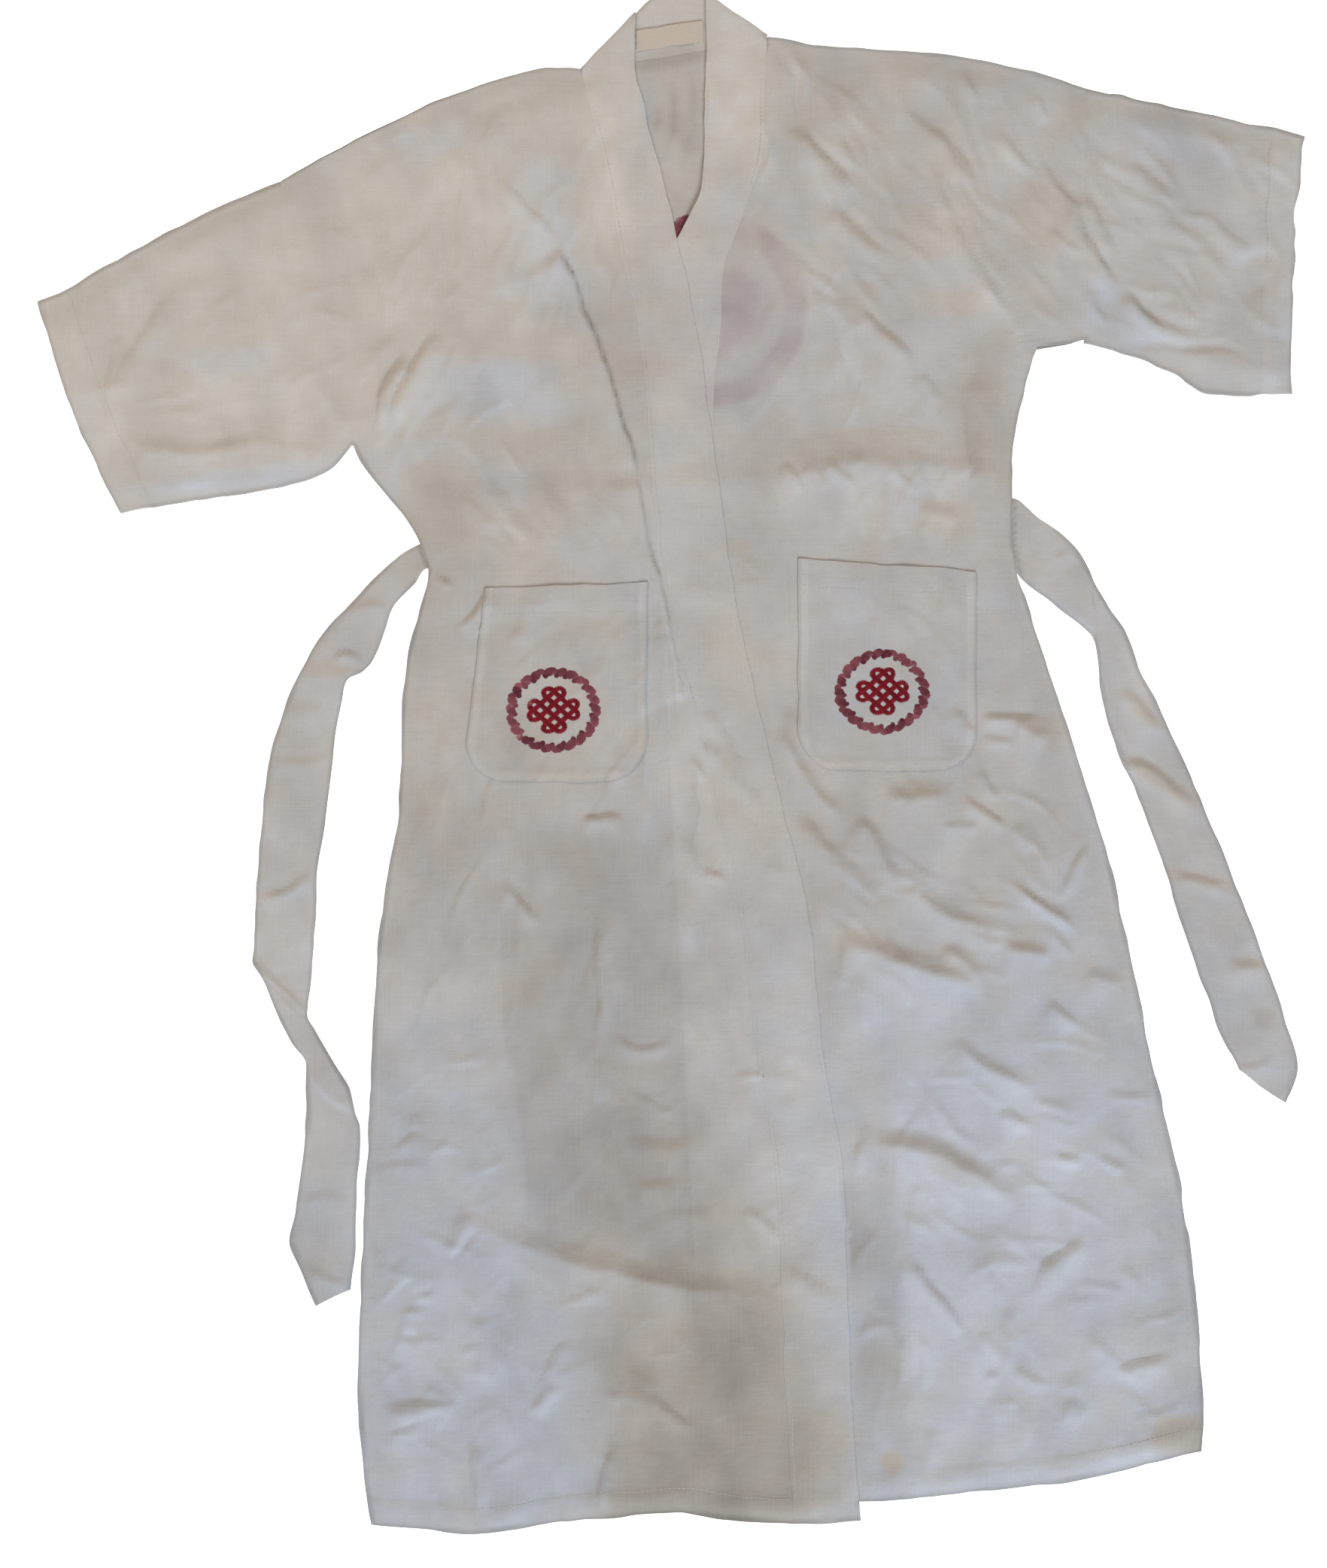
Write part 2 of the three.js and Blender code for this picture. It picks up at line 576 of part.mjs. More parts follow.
/** The back, on the floor. */
function back() {
  const right = RIGHT_SIDE.map((p, i) => (i === 0 ? BACK_HEM[0] : p));
  const left = LEFT_SIDE.map((p, i) => (i === 0 ? BACK_HEM[BACK_HEM.length - 1] : p));
  const top = [...RIGHT_SHOULDER.slice(0, -1), ...NECKLINE, ...LEFT_SHOULDER.slice(1)];
  const topWidth = top[top.length - 1].x - top[0].x;
  const neck = [NECKLINE[0], NECKLINE[NECKLINE.length - 1]];
  const grid = panelGrid({
    left: right,
    right: left,
    hem: BACK_HEM,
    shoulder: top,
    held: { left: false, right: false },
    marks: neck.map((p) => (p.x - top[0].x) / topWidth),
    steps: BACK_STEP,
  });
  return wall(grid, backFaces);
}

// Sleeves

/** A flattened sleeve between its upper and lower outlines, as rings from one end to the other. */
function sleeve({ upper, lower, cuffEnd, cuffBow }) {
  const outer = [];
  const inner = [];
  for (let i = 0; i < SLEEVE_STATIONS; i += 1) {
    const s = i / (SLEEVE_STATIONS - 1);
    const highX = mix(upper[0].x, upper[upper.length - 1].x, s);
    const lowX = mix(lower[0].x, lower[lower.length - 1].x, s);
    const high = new THREE.Vector2(highX, read(upper, "x", "y", highX));
    const low = new THREE.Vector2(lowX, read(lower, "x", "y", lowX));
    const length = upper[upper.length - 1].x - upper[0].x;
    const free = ramp(0, EDGE_FADE, Math.min(s, 1 - s) * length);
    const bow = cuffBow * ramp(1 - cuffEnd, cuffEnd, s);
    outer.push(sleeveRing(low, high, bow, free, 0));
    inner.push(sleeveRing(low, high, bow, free, CLOTH));
  }
  return tube(outer, inner);
}

/** One ring: along the upper side from the lower outline to the upper one, then back along the floor. */
function sleeveRing(low, high, bow, free, inset) {
  const width = low.distanceTo(high);
  const middle = (2 * CLOTH + LAYER_GAP) / 2;
  const point = (f, z) => {
    const p = low.clone().lerp(high, f);
    return new THREE.Vector3(p.x + bow * 4 * f * (1 - f), p.y, z);
  };
  const rim = inset / width;
  const turn = (inset + SLEEVE_EDGE) / width;
  const parts = Array.from({ length: SLEEVE_PARTS + 1 }, (_, k) => mix(turn, 1 - turn, k / SLEEVE_PARTS));
  const top = parts.map((f) => {
    const p = point(f, 0);
    const loose = free * ramp(0, EDGE_FADE, Math.min(f, 1 - f) * width);
    const faces = layerFaces(CLOTH + LAYER_GAP, p.x, p.y, loose, 1);
    return p.setZ(inset ? faces.low : faces.high);
  });
  const floor = parts.map((f) => point(f, inset)).reverse();
  return [point(rim, middle), ...top, point(1 - rim, middle), ...floor];
}

// Neckband

/** Crossing lines of a stretch of the neckband, on smooth curves, with no step longer than the spacing. */
function bandLines(rows) {
  let run = 0;
  const table = rows.map((row, i) => {
    const before = rows[Math.max(0, i - 1)];
    const sewnStep = Math.hypot(row.sewnX - before.sewnX, row.sewnY - before.sewnY);
    const freeStep = Math.hypot(row.freeX - before.freeX, row.freeY - before.freeY);
    run += (sewnStep + freeStep) / 2;
    return { ...row, run };
  });
  const keys = Object.keys(rows[0]);
  return divide(table.map((row) => row.run / run), run, BAND_STEP).map((fraction) =>
    Object.fromEntries(keys.map((key) => [key, read(table, "run", key, fraction * run)])),
  );
}

const lineStart = (line) => new THREE.Vector2(line.sewnX, line.sewnY);
const lineEnd = (line) => new THREE.Vector2(line.freeX, line.freeY);
const NECK_TOP = BAND_CLOTH + 2 * NECK_ROLL; // height of the band's lower face where it leaves a fold

/** Points across one flat line of the neckband, with the direction that its outer face looks. */
function flatLine(line, fold, faces) {
  const middle = lineStart(line).add(lineEnd(line)).multiplyScalar(0.5);
  const foldMiddle = lineStart(fold).add(lineEnd(fold)).multiplyScalar(0.5);
  const settled = ramp(0, NECK_SETTLE, middle.distanceTo(foldMiddle));
  return Array.from({ length: BAND_PARTS + 1 }, (_, k) => {
    const t = k / BAND_PARTS;
    const p = lineStart(line).lerp(lineEnd(line), t);
    const fade = ramp(0, EDGE_FADE, (1 - t) * middle.distanceTo(lineEnd(line)) * 2);
    const z = mix(NECK_TOP, faces({ x: p.x, y: p.y, fade }).low, settled);
    return { at: new THREE.Vector3(p.x, p.y, z), out: new THREE.Vector3(0, 0, 1) };
  });
}

/** The lines of the roll over a fold, from its upper side to its lower side. */
function rollLines(fold, outward) {
  const lines = [];
  for (let i = 1; i < NECK_ROLL_PARTS; i += 1) {
    const angle = (Math.PI * i) / NECK_ROLL_PARTS;
    const out = new THREE.Vector3(0, 0, Math.cos(angle)).addScaledVector(outward, Math.sin(angle));
    lines.push(
      Array.from({ length: BAND_PARTS + 1 }, (_, k) => {
        const p = lineStart(fold).lerp(lineEnd(fold), k / BAND_PARTS);
        const at = new THREE.Vector3(p.x, p.y, BAND_CLOTH + NECK_ROLL).addScaledVector(out, NECK_ROLL);
        return { at, out };
      }),
    );
  }
  return lines;
}

/** The direction square to a fold, away from the cloth. */
function foldOutward(fold, side) {
  const run = lineEnd(fold).sub(lineStart(fold)).normalize();
  return new THREE.Vector3(-run.y * side, run.x * side, 0);
}

/** The whole neckband, from the right front's hem round the neck to the left front's hem. */
function neckband() {
  const rightFold = NECK_BAND[0];
  const leftFold = NECK_BAND[NECK_BAND.length - 1];
  const floorLine = (line) =>
    Array.from({ length: BAND_PARTS + 1 }, (_, k) => {
      const p = lineStart(line).lerp(lineEnd(line), k / BAND_PARTS);
      return { at: new THREE.Vector3(p.x, p.y, BAND_CLOTH), out: new THREE.Vector3(0, 0, -1) };
    });
  const lines = [
    ...bandLines(OVER_BAND).map((line) => flatLine(line, rightFold, overFaces)),
    ...rollLines(rightFold, foldOutward(rightFold, 1)),
    ...bandLines(NECK_BAND).map(floorLine),
    ...rollLines(leftFold, foldOutward(leftFold, -1)).reverse(),
    ...bandLines(UNDER_BAND).map((line) => flatLine(line, leftFold, underFaces)),
  ];
  const lower = lines.map((line) => line.map((p) => p.at));
  const upper = lines.map((line) => line.map((p) => p.at.clone().addScaledVector(p.out, BAND_CLOTH)));
  return slab(lower, upper);
}

// Small pieces

/** Plan points of a patch pocket between its corners. */
function pocketGrid({ lowerLeft, lowerRight, upperRight, upperLeft }) {
  const height = upperLeft.y - lowerLeft.y;
  const width = lowerRight.x - lowerLeft.x;
  const corner = Array.from({ length: POCKET_CORNER_PARTS }, (_, k) => {
    const angle = (Math.PI / 2) * (k / POCKET_CORNER_PARTS);
    return (POCKET_CORNER * (1 - Math.cos(angle))) / height;
  });
  const levels = divide([...corner, POCKET_CORNER / height], height, POCKET_STEP);
  const columns = divide([], width, POCKET_STEP);
  return levels.map((v) => {
    const short = Math.max(0, POCKET_CORNER - v * height);
    const inset = POCKET_CORNER - Math.sqrt(POCKET_CORNER ** 2 - short ** 2);
    return columns.map((u) => {
      const across = mix(inset / width, 1 - inset / width, u);
      const x = mix(mix(lowerLeft.x, lowerRight.x, across), mix(upperLeft.x, upperRight.x, across), v);
      const y = mix(mix(lowerLeft.y, lowerRight.y, across), mix(upperLeft.y, upperRight.y, across), v);
      return { x, y };
    });
  });
}

/** Height of a front's upper face, read off its own grid of points. */
function topOfFront(grid, faces, x, y) {
  for (let i = 0; i < grid.length - 1; i += 1) {
    for (let j = 0; j < grid[i].length - 1; j += 1) {
      const corners = [grid[i][j], grid[i][j + 1], grid[i + 1][j + 1], grid[i + 1][j]];
      for (const [a, b, c] of [[0, 1, 2], [0, 2, 3]].map((t) => t.map((k) => corners[k]))) {
        const area = (b.x - a.x) * (c.y - a.y) - (c.x - a.x) * (b.y - a.y);
        const p = ((b.x - x) * (c.y - y) - (c.x - x) * (b.y - y)) / area;
        const q = ((c.x - x) * (a.y - y) - (a.x - x) * (c.y - y)) / area;
        if (p < 0 || q < 0 || p + q > 1) continue;
        return p * faces(a).high + q * faces(b).high + (1 - p - q) * faces(c).high;
      }
    }
  }
  throw new Error("a pocket reaches past its front");
}

/** A patch pocket, made from the points of the front below it, moved out. */
function pocket(corners, grid, faces) {
  return wall(pocketGrid(corners), ({ x, y }) => {
    const low = topOfFront(grid, faces, x, y) + POCKET_GAP;
    return { low, high: low + CLOTH };
  });
}

/** The blank woven label, on the neckband at the back of the neck. */
function label() {
  const grid = [-0.5, 0.5].map((v) =>
    [-0.5, 0.5].map((u) => {
      const x = u * LABEL.width;
      const y = v * LABEL.height;
      return { x: LABEL.x + x, y: LABEL.y + y + x * LABEL.tilt };
    }),
  );
  const low = BAND_CLOTH + LAYER_GAP;
  return wall(grid, () => ({ low, high: low + LABEL.thickness }));
}

/** The belt, one strip along the floor from tip to tip. */
function belt() {
  const lower = [];
  const upper = [];
  BELT.forEach((row, i) => {
    const before = BELT[Math.max(0, i - 1)];
    const run = Math.hypot(row.leftX - before.leftX, row.leftY - before.leftY);
    const parts = i === 0 ? 1 : Math.max(1, Math.ceil(run / BELT_STEP));
    for (let k = 1; k <= parts; k += 1) {
      const now = (key) => mix(before[key], row[key], k / parts);
      const top = CLOTH * now("layers");
      const line = [0, 0.5, 1].map(
        (t) => new THREE.Vector3(mix(now("leftX"), now("rightX"), t), mix(now("leftY"), now("rightY"), t), 0),
      );
      lower.push(line);
      upper.push(line.map((p) => p.clone().setZ(top)));
    }
  });
  return slab(lower, upper);
}

// The robe

const silk = () => new THREE.MeshStandardMaterial({ color: 0xc9c2bc, roughness: 0.82, metalness: 0 });
const woven = () => new THREE.MeshStandardMaterial({ color: 0xd8cfc4, roughness: 0.7, metalness: 0 });

/** A named mesh of one piece. */
function piece(name, geometry, material) {
  const mesh = new THREE.Mesh(geometry, material);
  mesh.name = name;
  return mesh;
}

const robe = new THREE.Group();
robe.position.set(-CENTRE.x, -CENTRE.y, 0);
robe.add(
  piece("back_panel", back(), silk()),
  piece("front_left", leftFront(), silk()),
  piece("front_right", rightFront(), silk()),
  piece("sleeve_left", sleeve(LEFT_SLEEVE), silk()),
  piece("sleeve_right", sleeve(RIGHT_SLEEVE), silk()),
  piece("neckband", neckband(), silk()),
  piece("pocket_left", pocket(LEFT_POCKET, LEFT_FRONT_GRID, underFaces), silk()),
  piece("pocket_right", pocket(RIGHT_POCKET, RIGHT_FRONT_GRID, overFaces), silk()),
  piece("label", label(), woven()),
  piece("belt", belt(), silk()),
);

export default robe;
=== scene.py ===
"""A light wrap robe laid flat on its back: folded cloth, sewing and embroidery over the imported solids.

Sizes in the tables are millimetres. X runs to the wearer's left, Y from the hem to the neck, Z up.
"""

import logging
import math
from collections.abc import Callable, Sequence
from dataclasses import dataclass, field
from enum import Enum
from functools import lru_cache

import bpy
import numpy as np
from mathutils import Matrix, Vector


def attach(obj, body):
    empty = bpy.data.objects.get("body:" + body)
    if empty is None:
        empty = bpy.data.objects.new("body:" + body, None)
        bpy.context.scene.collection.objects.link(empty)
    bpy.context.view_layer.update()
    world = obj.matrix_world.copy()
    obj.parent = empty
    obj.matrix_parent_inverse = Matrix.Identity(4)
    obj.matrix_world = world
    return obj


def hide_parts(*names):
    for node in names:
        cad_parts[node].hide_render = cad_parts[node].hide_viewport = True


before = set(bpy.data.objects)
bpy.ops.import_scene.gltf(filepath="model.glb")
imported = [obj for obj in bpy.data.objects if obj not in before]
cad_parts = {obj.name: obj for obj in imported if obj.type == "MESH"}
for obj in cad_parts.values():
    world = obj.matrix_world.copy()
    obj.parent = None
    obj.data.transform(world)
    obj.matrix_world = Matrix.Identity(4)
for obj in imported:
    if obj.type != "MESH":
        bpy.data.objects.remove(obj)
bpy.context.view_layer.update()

log = logging.getLogger("robe")
Array = np.ndarray
Piece = bpy.types.Object
Material = bpy.types.Material
Surface = Callable[[Array, Array], Array]

CENTRE = (0.5, -0.66)  # middle of the outline in the tables
CLOTH = 0.4  # thickness of one layer
BAND_CLOTH = 0.45  # thickness of the doubled neckband
SEAM_STEP = 0.16  # how far a band's lower face lies above its front's
HEM = 20.0  # depth of the turned hem
HEM_STEP = 0.45  # how far the turned hem stands up
CUFF = 24.0  # depth of a sleeve's turned hem
LOFT = 1.4  # how far relaxed cloth stands off the cloth below it
LAYER = 0.5  # room between the back and a front
CREST = 9.0  # height that folds, alone or crossing, can't pass
FAR = 40.0  # distance that stands for no crease nearby
LATTICE = (997, 991)  # points of random numbers, more than the robe has cells each way
LATTICE_SHIFT = 400  # cells that keep every place of the robe inside the lattice
SIDE_SEAM = 12.0  # distance of the side seams' stitching from their edge

# Distance between the points of each piece
PANEL_STEP = 3.0
BACK_STEP = 6.0
BAND_STEP = 5.0
BELT_STEP = 3.0
POCKET_STEP = 3.0


# Tables


@dataclass(frozen=True)
class Table:
    """Rows of named columns, read along smooth curves that never overshoot a row."""

    columns: str
    rows: tuple[tuple[float, ...], ...]

    def column(self, name: str) -> Array:
        """One column's values, from the first row to the last."""
        place = self.columns.split().index(name)
        return np.array([row[place] for row in self.rows], float)

    def read(self, along: str, value: str, place: Array | float) -> Array:
        """A column's value at places along another one.

        Args:
            along: the column that is known.
            value: the column to read.
            place: where to read it.

        Returns:
            The values there.
        """
        x, y = self.column(along), self.column(value)
        order = np.argsort(x, kind="stable")
        x, y = x[order], y[order]
        rise = np.diff(y) / np.maximum(np.diff(x), 1e-9)
        slope = np.concatenate([rise[:1], np.zeros(len(rise) - 1), rise[-1:]])
        both = rise[:-1] * rise[1:]
        turning = np.where(both > 0, rise[:-1] + rise[1:], 1.0)
        slope[1:-1] = np.where(both > 0, 2 * both / turning, 0.0)
        place = np.asarray(place, float)
        row = np.clip(np.searchsorted(x, place, side="left") - 1, 0, len(x) - 2)
        span = x[row + 1] - x[row]
        t = np.clip((place - x[row]) / np.maximum(span, 1e-9), 0, 1)
        bend = t * (1 - t) ** 2 * span * slope[row] + t * t * (t - 1) * span * slope[row + 1]
        return y[row] + (y[row + 1] - y[row]) * t * t * (3 - 2 * t) + bend

    def points(self) -> Array:
        """All rows as one array."""
        return np.array(self.rows, float)

    def spread(self, run: Array, places: Array) -> list[Array]:
        """Every column, read at places along a line that the rows lie on.

        Args:
            run: each row's distance along the line.
            places: distances to read at.

        Returns:
            One array for each column.
        """
        rows = tuple((r, *row) for r, row in zip(run, self.rows))
        named = Table("run " + self.columns, rows)
        return [named.read("run", column, places) for column in self.columns.split()]


# Columns of the tables of folds and of crossing lines
FOLD = "x1 y1 x2 y2 x3 y3 reach height"
CROSSING = "sewn_x sewn_y free_x free_y"

# Side seams, hem to underarm, then the armhole up to the shoulder
RIGHT_SIDE = Table("x y", (
    (-238, -610), (-244, -569), (-249, -500), (-247, -425), (-240, -281), (-234, -161), (-225, -89),
    (-216, -41), (-214, 30), (-210, 79), (-198, 125), (-192.5, 151), (-201, 175), (-216, 199),
    (-236, 223), (-253, 251.5), (-254.6, 257.5), (-311, 462.5),
))
LEFT_SIDE = Table("x y", (
    (424, -551), (425, -521), (421, -449), (409, -353), (388, -257), (368, -161), (346, -65), (323, 7),
    (300, 79), (284, 127), (273, 172), (273, 235), (277, 271), (287, 310), (295, 330), (331.5, 334.5),
    (331.5, 536),
))

# Hems by rising X
RIGHT_HEM = Table("x y", (
    (-238, -610), (-199, -613), (-160, -617), (-103, -610), (-31, -602.5), (5, -599.5), (41, -604),
    (98, -609), (125, -606), (151.5, -606.5),
))
LEFT_HEM = Table("x y", (
    (30, -592), (152, -591.5), (209, -587), (305, -576.5), (345, -569.5), (424, -551),
))
BACK_HEM = Table("x y", ((-238, -604), (0, -593), (152, -586), (305, -571), (424, -546)))

# Shoulders by rising X, and the neckline between them
RIGHT_SHOULDER = Table("x y", (
    (-311, 462.5), (-271, 486), (-223, 510), (-175, 531), (-127, 546.5), (-100, 552), (-79, 552.5),
    (-70.5, 552.0),
))
LEFT_SHOULDER = Table("x y", (
    (74.5, 577.0), (89, 575), (113, 570), (185, 566), (233, 561), (281, 551), (331.5, 536),
))
NECKLINE = Table("x y", ((-75.5, 550.5), (-29, 554.8), (28, 565), (80, 576)))

# Crossing lines of the neckband: up the right front, round the neck, down the left front
OVER_BAND = Table(CROSSING, (
    (98.5, -609, 151.5, -606.5), (91, -488, 144, -488), (84, -332, 138, -332),
    (69, -238, 122, -238), (54, -113, 109, -113), (37, -44, 91, -44), (17, 44, 70, 44),
    (0, 106, 56, 106), (-9, 162, 46.5, 160), (-13, 204, 40, 212), (-19, 281, 29, 287),
    (-26, 344, 20, 350), (-38, 400, 5, 417), (-49, 458, -7, 467), (-58, 497, -15, 497),
    (-65, 525, -21.5, 523), (-69.5, 542, -28, 554), (-71, 551.5, -27, 596.5),
))
NECK_BAND = Table(CROSSING, (
    (-71, 551.5, -27, 596.5), (-48, 554.3, -18, 606), (-22, 558, -6, 613), (8, 563, 8, 615),
    (44, 570, 20, 615.5), (76.5, 577.5, 28.5, 612),
))
UNDER_BAND = Table(CROSSING, (
    (76.5, 577.5, 28.5, 612), (76, 560, 28.5, 572), (75, 532, 28, 532), (74, 497, 28, 493),
    (68, 461, 25, 458), (56, 429, 10, 425), (43, 391, -9, 383), (40.5, 345, -15, 341),
    (35, 300, -19, 296), (34, 247, -18.5, 245), (43, 150, -9.5, 149), (52, 6, -0.5, 6),
    (61.5, -173, 8.5, -173), (73.5, -413, 20.5, -413), (86.5, -592, 33.5, -592),
))

# Sleeve outlines by rising X
RIGHT_SLEEVE_TOP = Table("x y", (
    (-504, 366), (-487, 373), (-463, 386.5), (-415, 413.5), (-367, 438.5), (-311.5, 462),
))
RIGHT_SLEEVE_FOOT = Table("x y", (
    (-438, 196), (-415, 201.5), (-367, 209), (-319, 216), (-294, 221.5), (-271, 231.5), (-254, 251),
))
LEFT_SLEEVE_TOP = Table("x y", (
    (332, 536), (377, 525.5), (425, 516.5), (473, 506.5), (505, 499),
))
LEFT_SLEEVE_FOOT = Table("x y", (
    (332, 331.5), (377, 319.5), (401, 308.5), (425, 294.5), (473, 290.5), (495, 290.5),
))

# Open ends of the sleeves, and the lines of stitching beside them with the bow of their middle
RIGHT_CUFF = Table("x y", ((-504, 366), (-476, 271), (-438, 196)))
LEFT_CUFF = Table("x y", ((505, 499), (497, 390), (495, 290)))
CUFF_SEAMS = Table("x1 y1 x2 y2 bow", ((-480, 378, -412, 203, -5), (481, 503, 471, 292, -3)))

# The belt's two edges, from the tip of its right end, under the robe, to the tip of its left end
BELT = Table("left_x left_y right_x right_y", (
    (-282, -435, -255, -422), (-296, -403, -251.5, -396), (-303, -384, -251.5, -386),
    (-299, -361, -250.5, -361), (-295, -333, -249.5, -333), (-291, -298, -247, -293),
    (-289, -277, -251, -281), (-290, -261, -256, -263), (-291, -244, -267, -244),
    (-303, -223, -281, -220), (-316, -197, -289, -204), (-325, -175, -288, -194),
    (-333, -160, -286, -178), (-331, -118, -282.5, -122), (-328, -83, -281, -83),
    (-326, -49, -275.5, -53), (-317.5, 11, -268, 11), (-310, 34, -264, 37), (-298.5, 64, -257, 64),
    (-285, 90, -243.5, 72), (-271, 108.5, -236, 81), (-254, 125.5, -228, 101),
    (-233, 148, -220.5, 122.5), (-217, 163.5, -203.5, 142), (-199, 173, -193, 153),
    (-170, 183, -170, 153), (-110, 190, -110, 144), (0, 199, 0, 151), (110, 206, 110, 158),
    (205, 212, 203, 165), (273, 209, 251, 167), (293, 194, 266, 160), (308, 184, 284, 142),
    (323, 169, 303, 127), (333, 153, 320, 113), (337, 144, 337, 98), (348.5, 123, 339, 92),
    (363, 103, 340, 83), (373, 74, 341, 69), (389, 43, 347.5, 34), (404, 10, 361.5, -3),
    (419, -21, 373, -31), (437, -65, 390, -77), (456.5, -113, 407, -128), (474, -161, 423, -176),
    (491, -209, 440, -221), (500, -245, 448, -237), (491, -273, 453, -247),
))
BELT_MIDDLE = Table("x y", ((-320, 150), (-193, 163), (0, 175), (205, 188), (300, 168)))

# Folds, each along a curve through three points. A roll rises sharply from its line to a crest on the
# left of its run, or on the right where its reach is negative, and falls gently beyond.
ROLLS = Table(FOLD, (
    # right underarm and chest
    (-238, 256, -228, 300, -209, 328, -7, 3.2), (-226, 262, -212, 305, -180, 350, -8, 3.6),
    (-242, 420, -234, 380, -231, 342, 8, 1.6), (-135, 465, -108, 438, -84, 412, -5, 1.2),
    (-150, 235, -122, 205, -95, 170, -9, 0.7), (-104, 238, -92, 213, -70, 190, -9, 0.8),
    (-68, 228, -58, 207, -40, 190, -9, 0.5),
    # right sleeve
    (-440, 332, -451, 295, -445, 252, 7, 1.6), (-393, 388, -428, 330, -449, 285, 8, 1.4),
    # left chest, fanning from the shoulder
    (106, 512, 124, 478, 150, 446, -7, 2.2), (120, 496, 134, 472, 152, 452, -5, 1.4),
    (126, 446, 150, 424, 186, 398, -8, 2.0), (212, 512, 226, 484, 241, 461, -5, 1.6),
    (226, 494, 240, 473, 246, 458, -4, 1.2), (236, 552, 241, 538, 247, 524, -4, 1.2),
    (266, 508, 280, 486, 292, 468, -5, 1.5), (294, 532, 299, 520, 304, 509, -4, 1.0),
    (148, 366, 172, 346, 203, 312, -7, 2.2), (203, 312, 212, 300, 222, 284, -6, 1.0),
    (222, 436, 246, 402, 274, 352, -8, 1.8), (104, 372, 103, 345, 108, 318, 8, 1.4),
    (128, 372, 131, 340, 148, 285, 8, 1.6),
    # left sleeve
    (320, 462, 336, 412, 366, 375, -8, 3.2), (366, 375, 380, 357, 396, 342, -6, 2.2),
    (330, 460, 345, 425, 356, 405, -6, 2.2), (364, 482, 388, 463, 414, 446, -7, 2.0),
    (372, 378, 384, 354, 432, 340, -6, 1.6), (398, 377, 412, 362, 424, 350, -4, 1.2),
    (424, 434, 450, 420, 470, 402, -6, 1.6), (338, 378, 343, 360, 352, 345, -4, 1.2),
    (486, 402, 481, 365, 488, 330, 6, 1.4), (305, 428, 316, 415, 332, 402, -4, 1.2),
    # over the belt
    (128, 245, 138, 232, 150, 222, -4, 1.2), (90, 238, 101, 228, 108, 214, -4, 1.0),
    (178, 242, 187, 228, 202, 219, -4, 1.0),
    # beside the right pocket
    (-190, 151, -181, 146, -172, 137, -3, 2.0), (-147, 137, -160, 117, -173, 104, 6, 2.0),
    (-122, 136, -120, 112, -134, 94, 7, 1.0), (-76, -46, -55, -43, -34, -47, -5, 2.0),
    # right skirt
    (-130, -94, -116, -112, -98, -131, -5, 2.0), (-60, -108, -59, -170, -58, -226, 5, 1.8),
    (-63, -236, -64, -255, -62, -278, 6, 1.4), (-45, -215, -22, -228, 2, -212, -5, 1.4),
    (-225, -313, -212, -302, -200, -291, -6, 1.1), (-201, -280, -198, -285, -194, -292, -3, 1.0),
    (-232, -513, -200, -510, -164, -513, -6, 1.3), (-194, -497, -185, -502, -174, -507, -5, 1.0),
    (-226, -536, -210, -529, -194, -523, -6, 1.2), (-84, -454, -98, -476, -108, -502, 8, 1.3),
    (-163, -545, -158, -572, -156, -600, 5, 1.8), (-49, -540, -55, -570, -58, -600, 5, 2.0),
    (-14, -500, 0, -515, 24, -532, -6, 1.6), (-46, -500, -42, -506, -37, -512, -3, 1.0),
    (-38, -296, -10, -301, 22, -298, -8, 0.9), (-30, -330, -12, -333, 12, -330, -8, 0.8),
    (-8, -356, 12, -358, 35, -352, -8, 0.7),
    # neckband
    (62, -350, 78, -368, 90, -385, -4, 1.4), (98, -394, 116, -414, 142, -426, -8, 2.6),
    (28, -84, 36, -90, 46, -93, -3, 1.4), (23, 22, 45, -2, 76, -38, -4, 1.6),
    (20, 4, 26, -6, 29, -16, -3, 1.4), (28, 50, 46, 18, 66, -19, -6, 1.8),
    # below the left pocket
    (108, -40, 126, -64, 160, -98, -8, 2.2), (232, -24, 252, -38, 272, -52, -5, 2.0),
    (272, -50, 276, -65, 280, -78, 5, 1.2), (214, -50, 230, -49, 248, -50, -4, 1.2),
    (250, -4, 256, -16, 264, -30, -4, 1.2), (224, 44, 236, 32, 247, 19, -5, 1.6),
    (244, 38, 268, 37, 300, 36, -5, 1.8), (246, 20, 262, 18, 276, 17, -4, 1.2),
    (334, -64, 320, -84, 304, -112, 4, 1.6), (276, -96, 298, -114, 330, -136, -4, 2.4),
    (300, -128, 312, -142, 326, -156, -4, 1.4),
    # left skirt
    (304, -188, 314, -198, 328, -212, -6, 1.8), (260, -278, 276, -281, 292, -292, -7, 2.2),
    (308, -313, 318, -311, 332, -314, -6, 1.4), (346, -312, 356, -318, 366, -326, -6, 1.2),
    (346, -262, 366, -266, 396, -268, -4, 1.0), (186, -392, 212, -420, 242, -464, -6, 2.6),
    (332, -378, 306, -392, 284, -426, 8, 2.6), (350, -488, 372, -476, 402, -472, -7, 2.2),
    (276, -482, 288, -488, 302, -496, -5, 1.4), (252, -484, 258, -486, 264, -488, -4, 1.2),
    (318, -506, 326, -510, 338, -516, -8, 1.4), (194, -456, 200, -480, 196, -506, 4, 1.2),
    (190, -330, 187, -360, 192, -392, 6, 1.6), (132, -128, 134, -155, 133, -182, 4, 1.2),
    (144, -168, 147, -190, 152, -222, 4, 1.2),
))

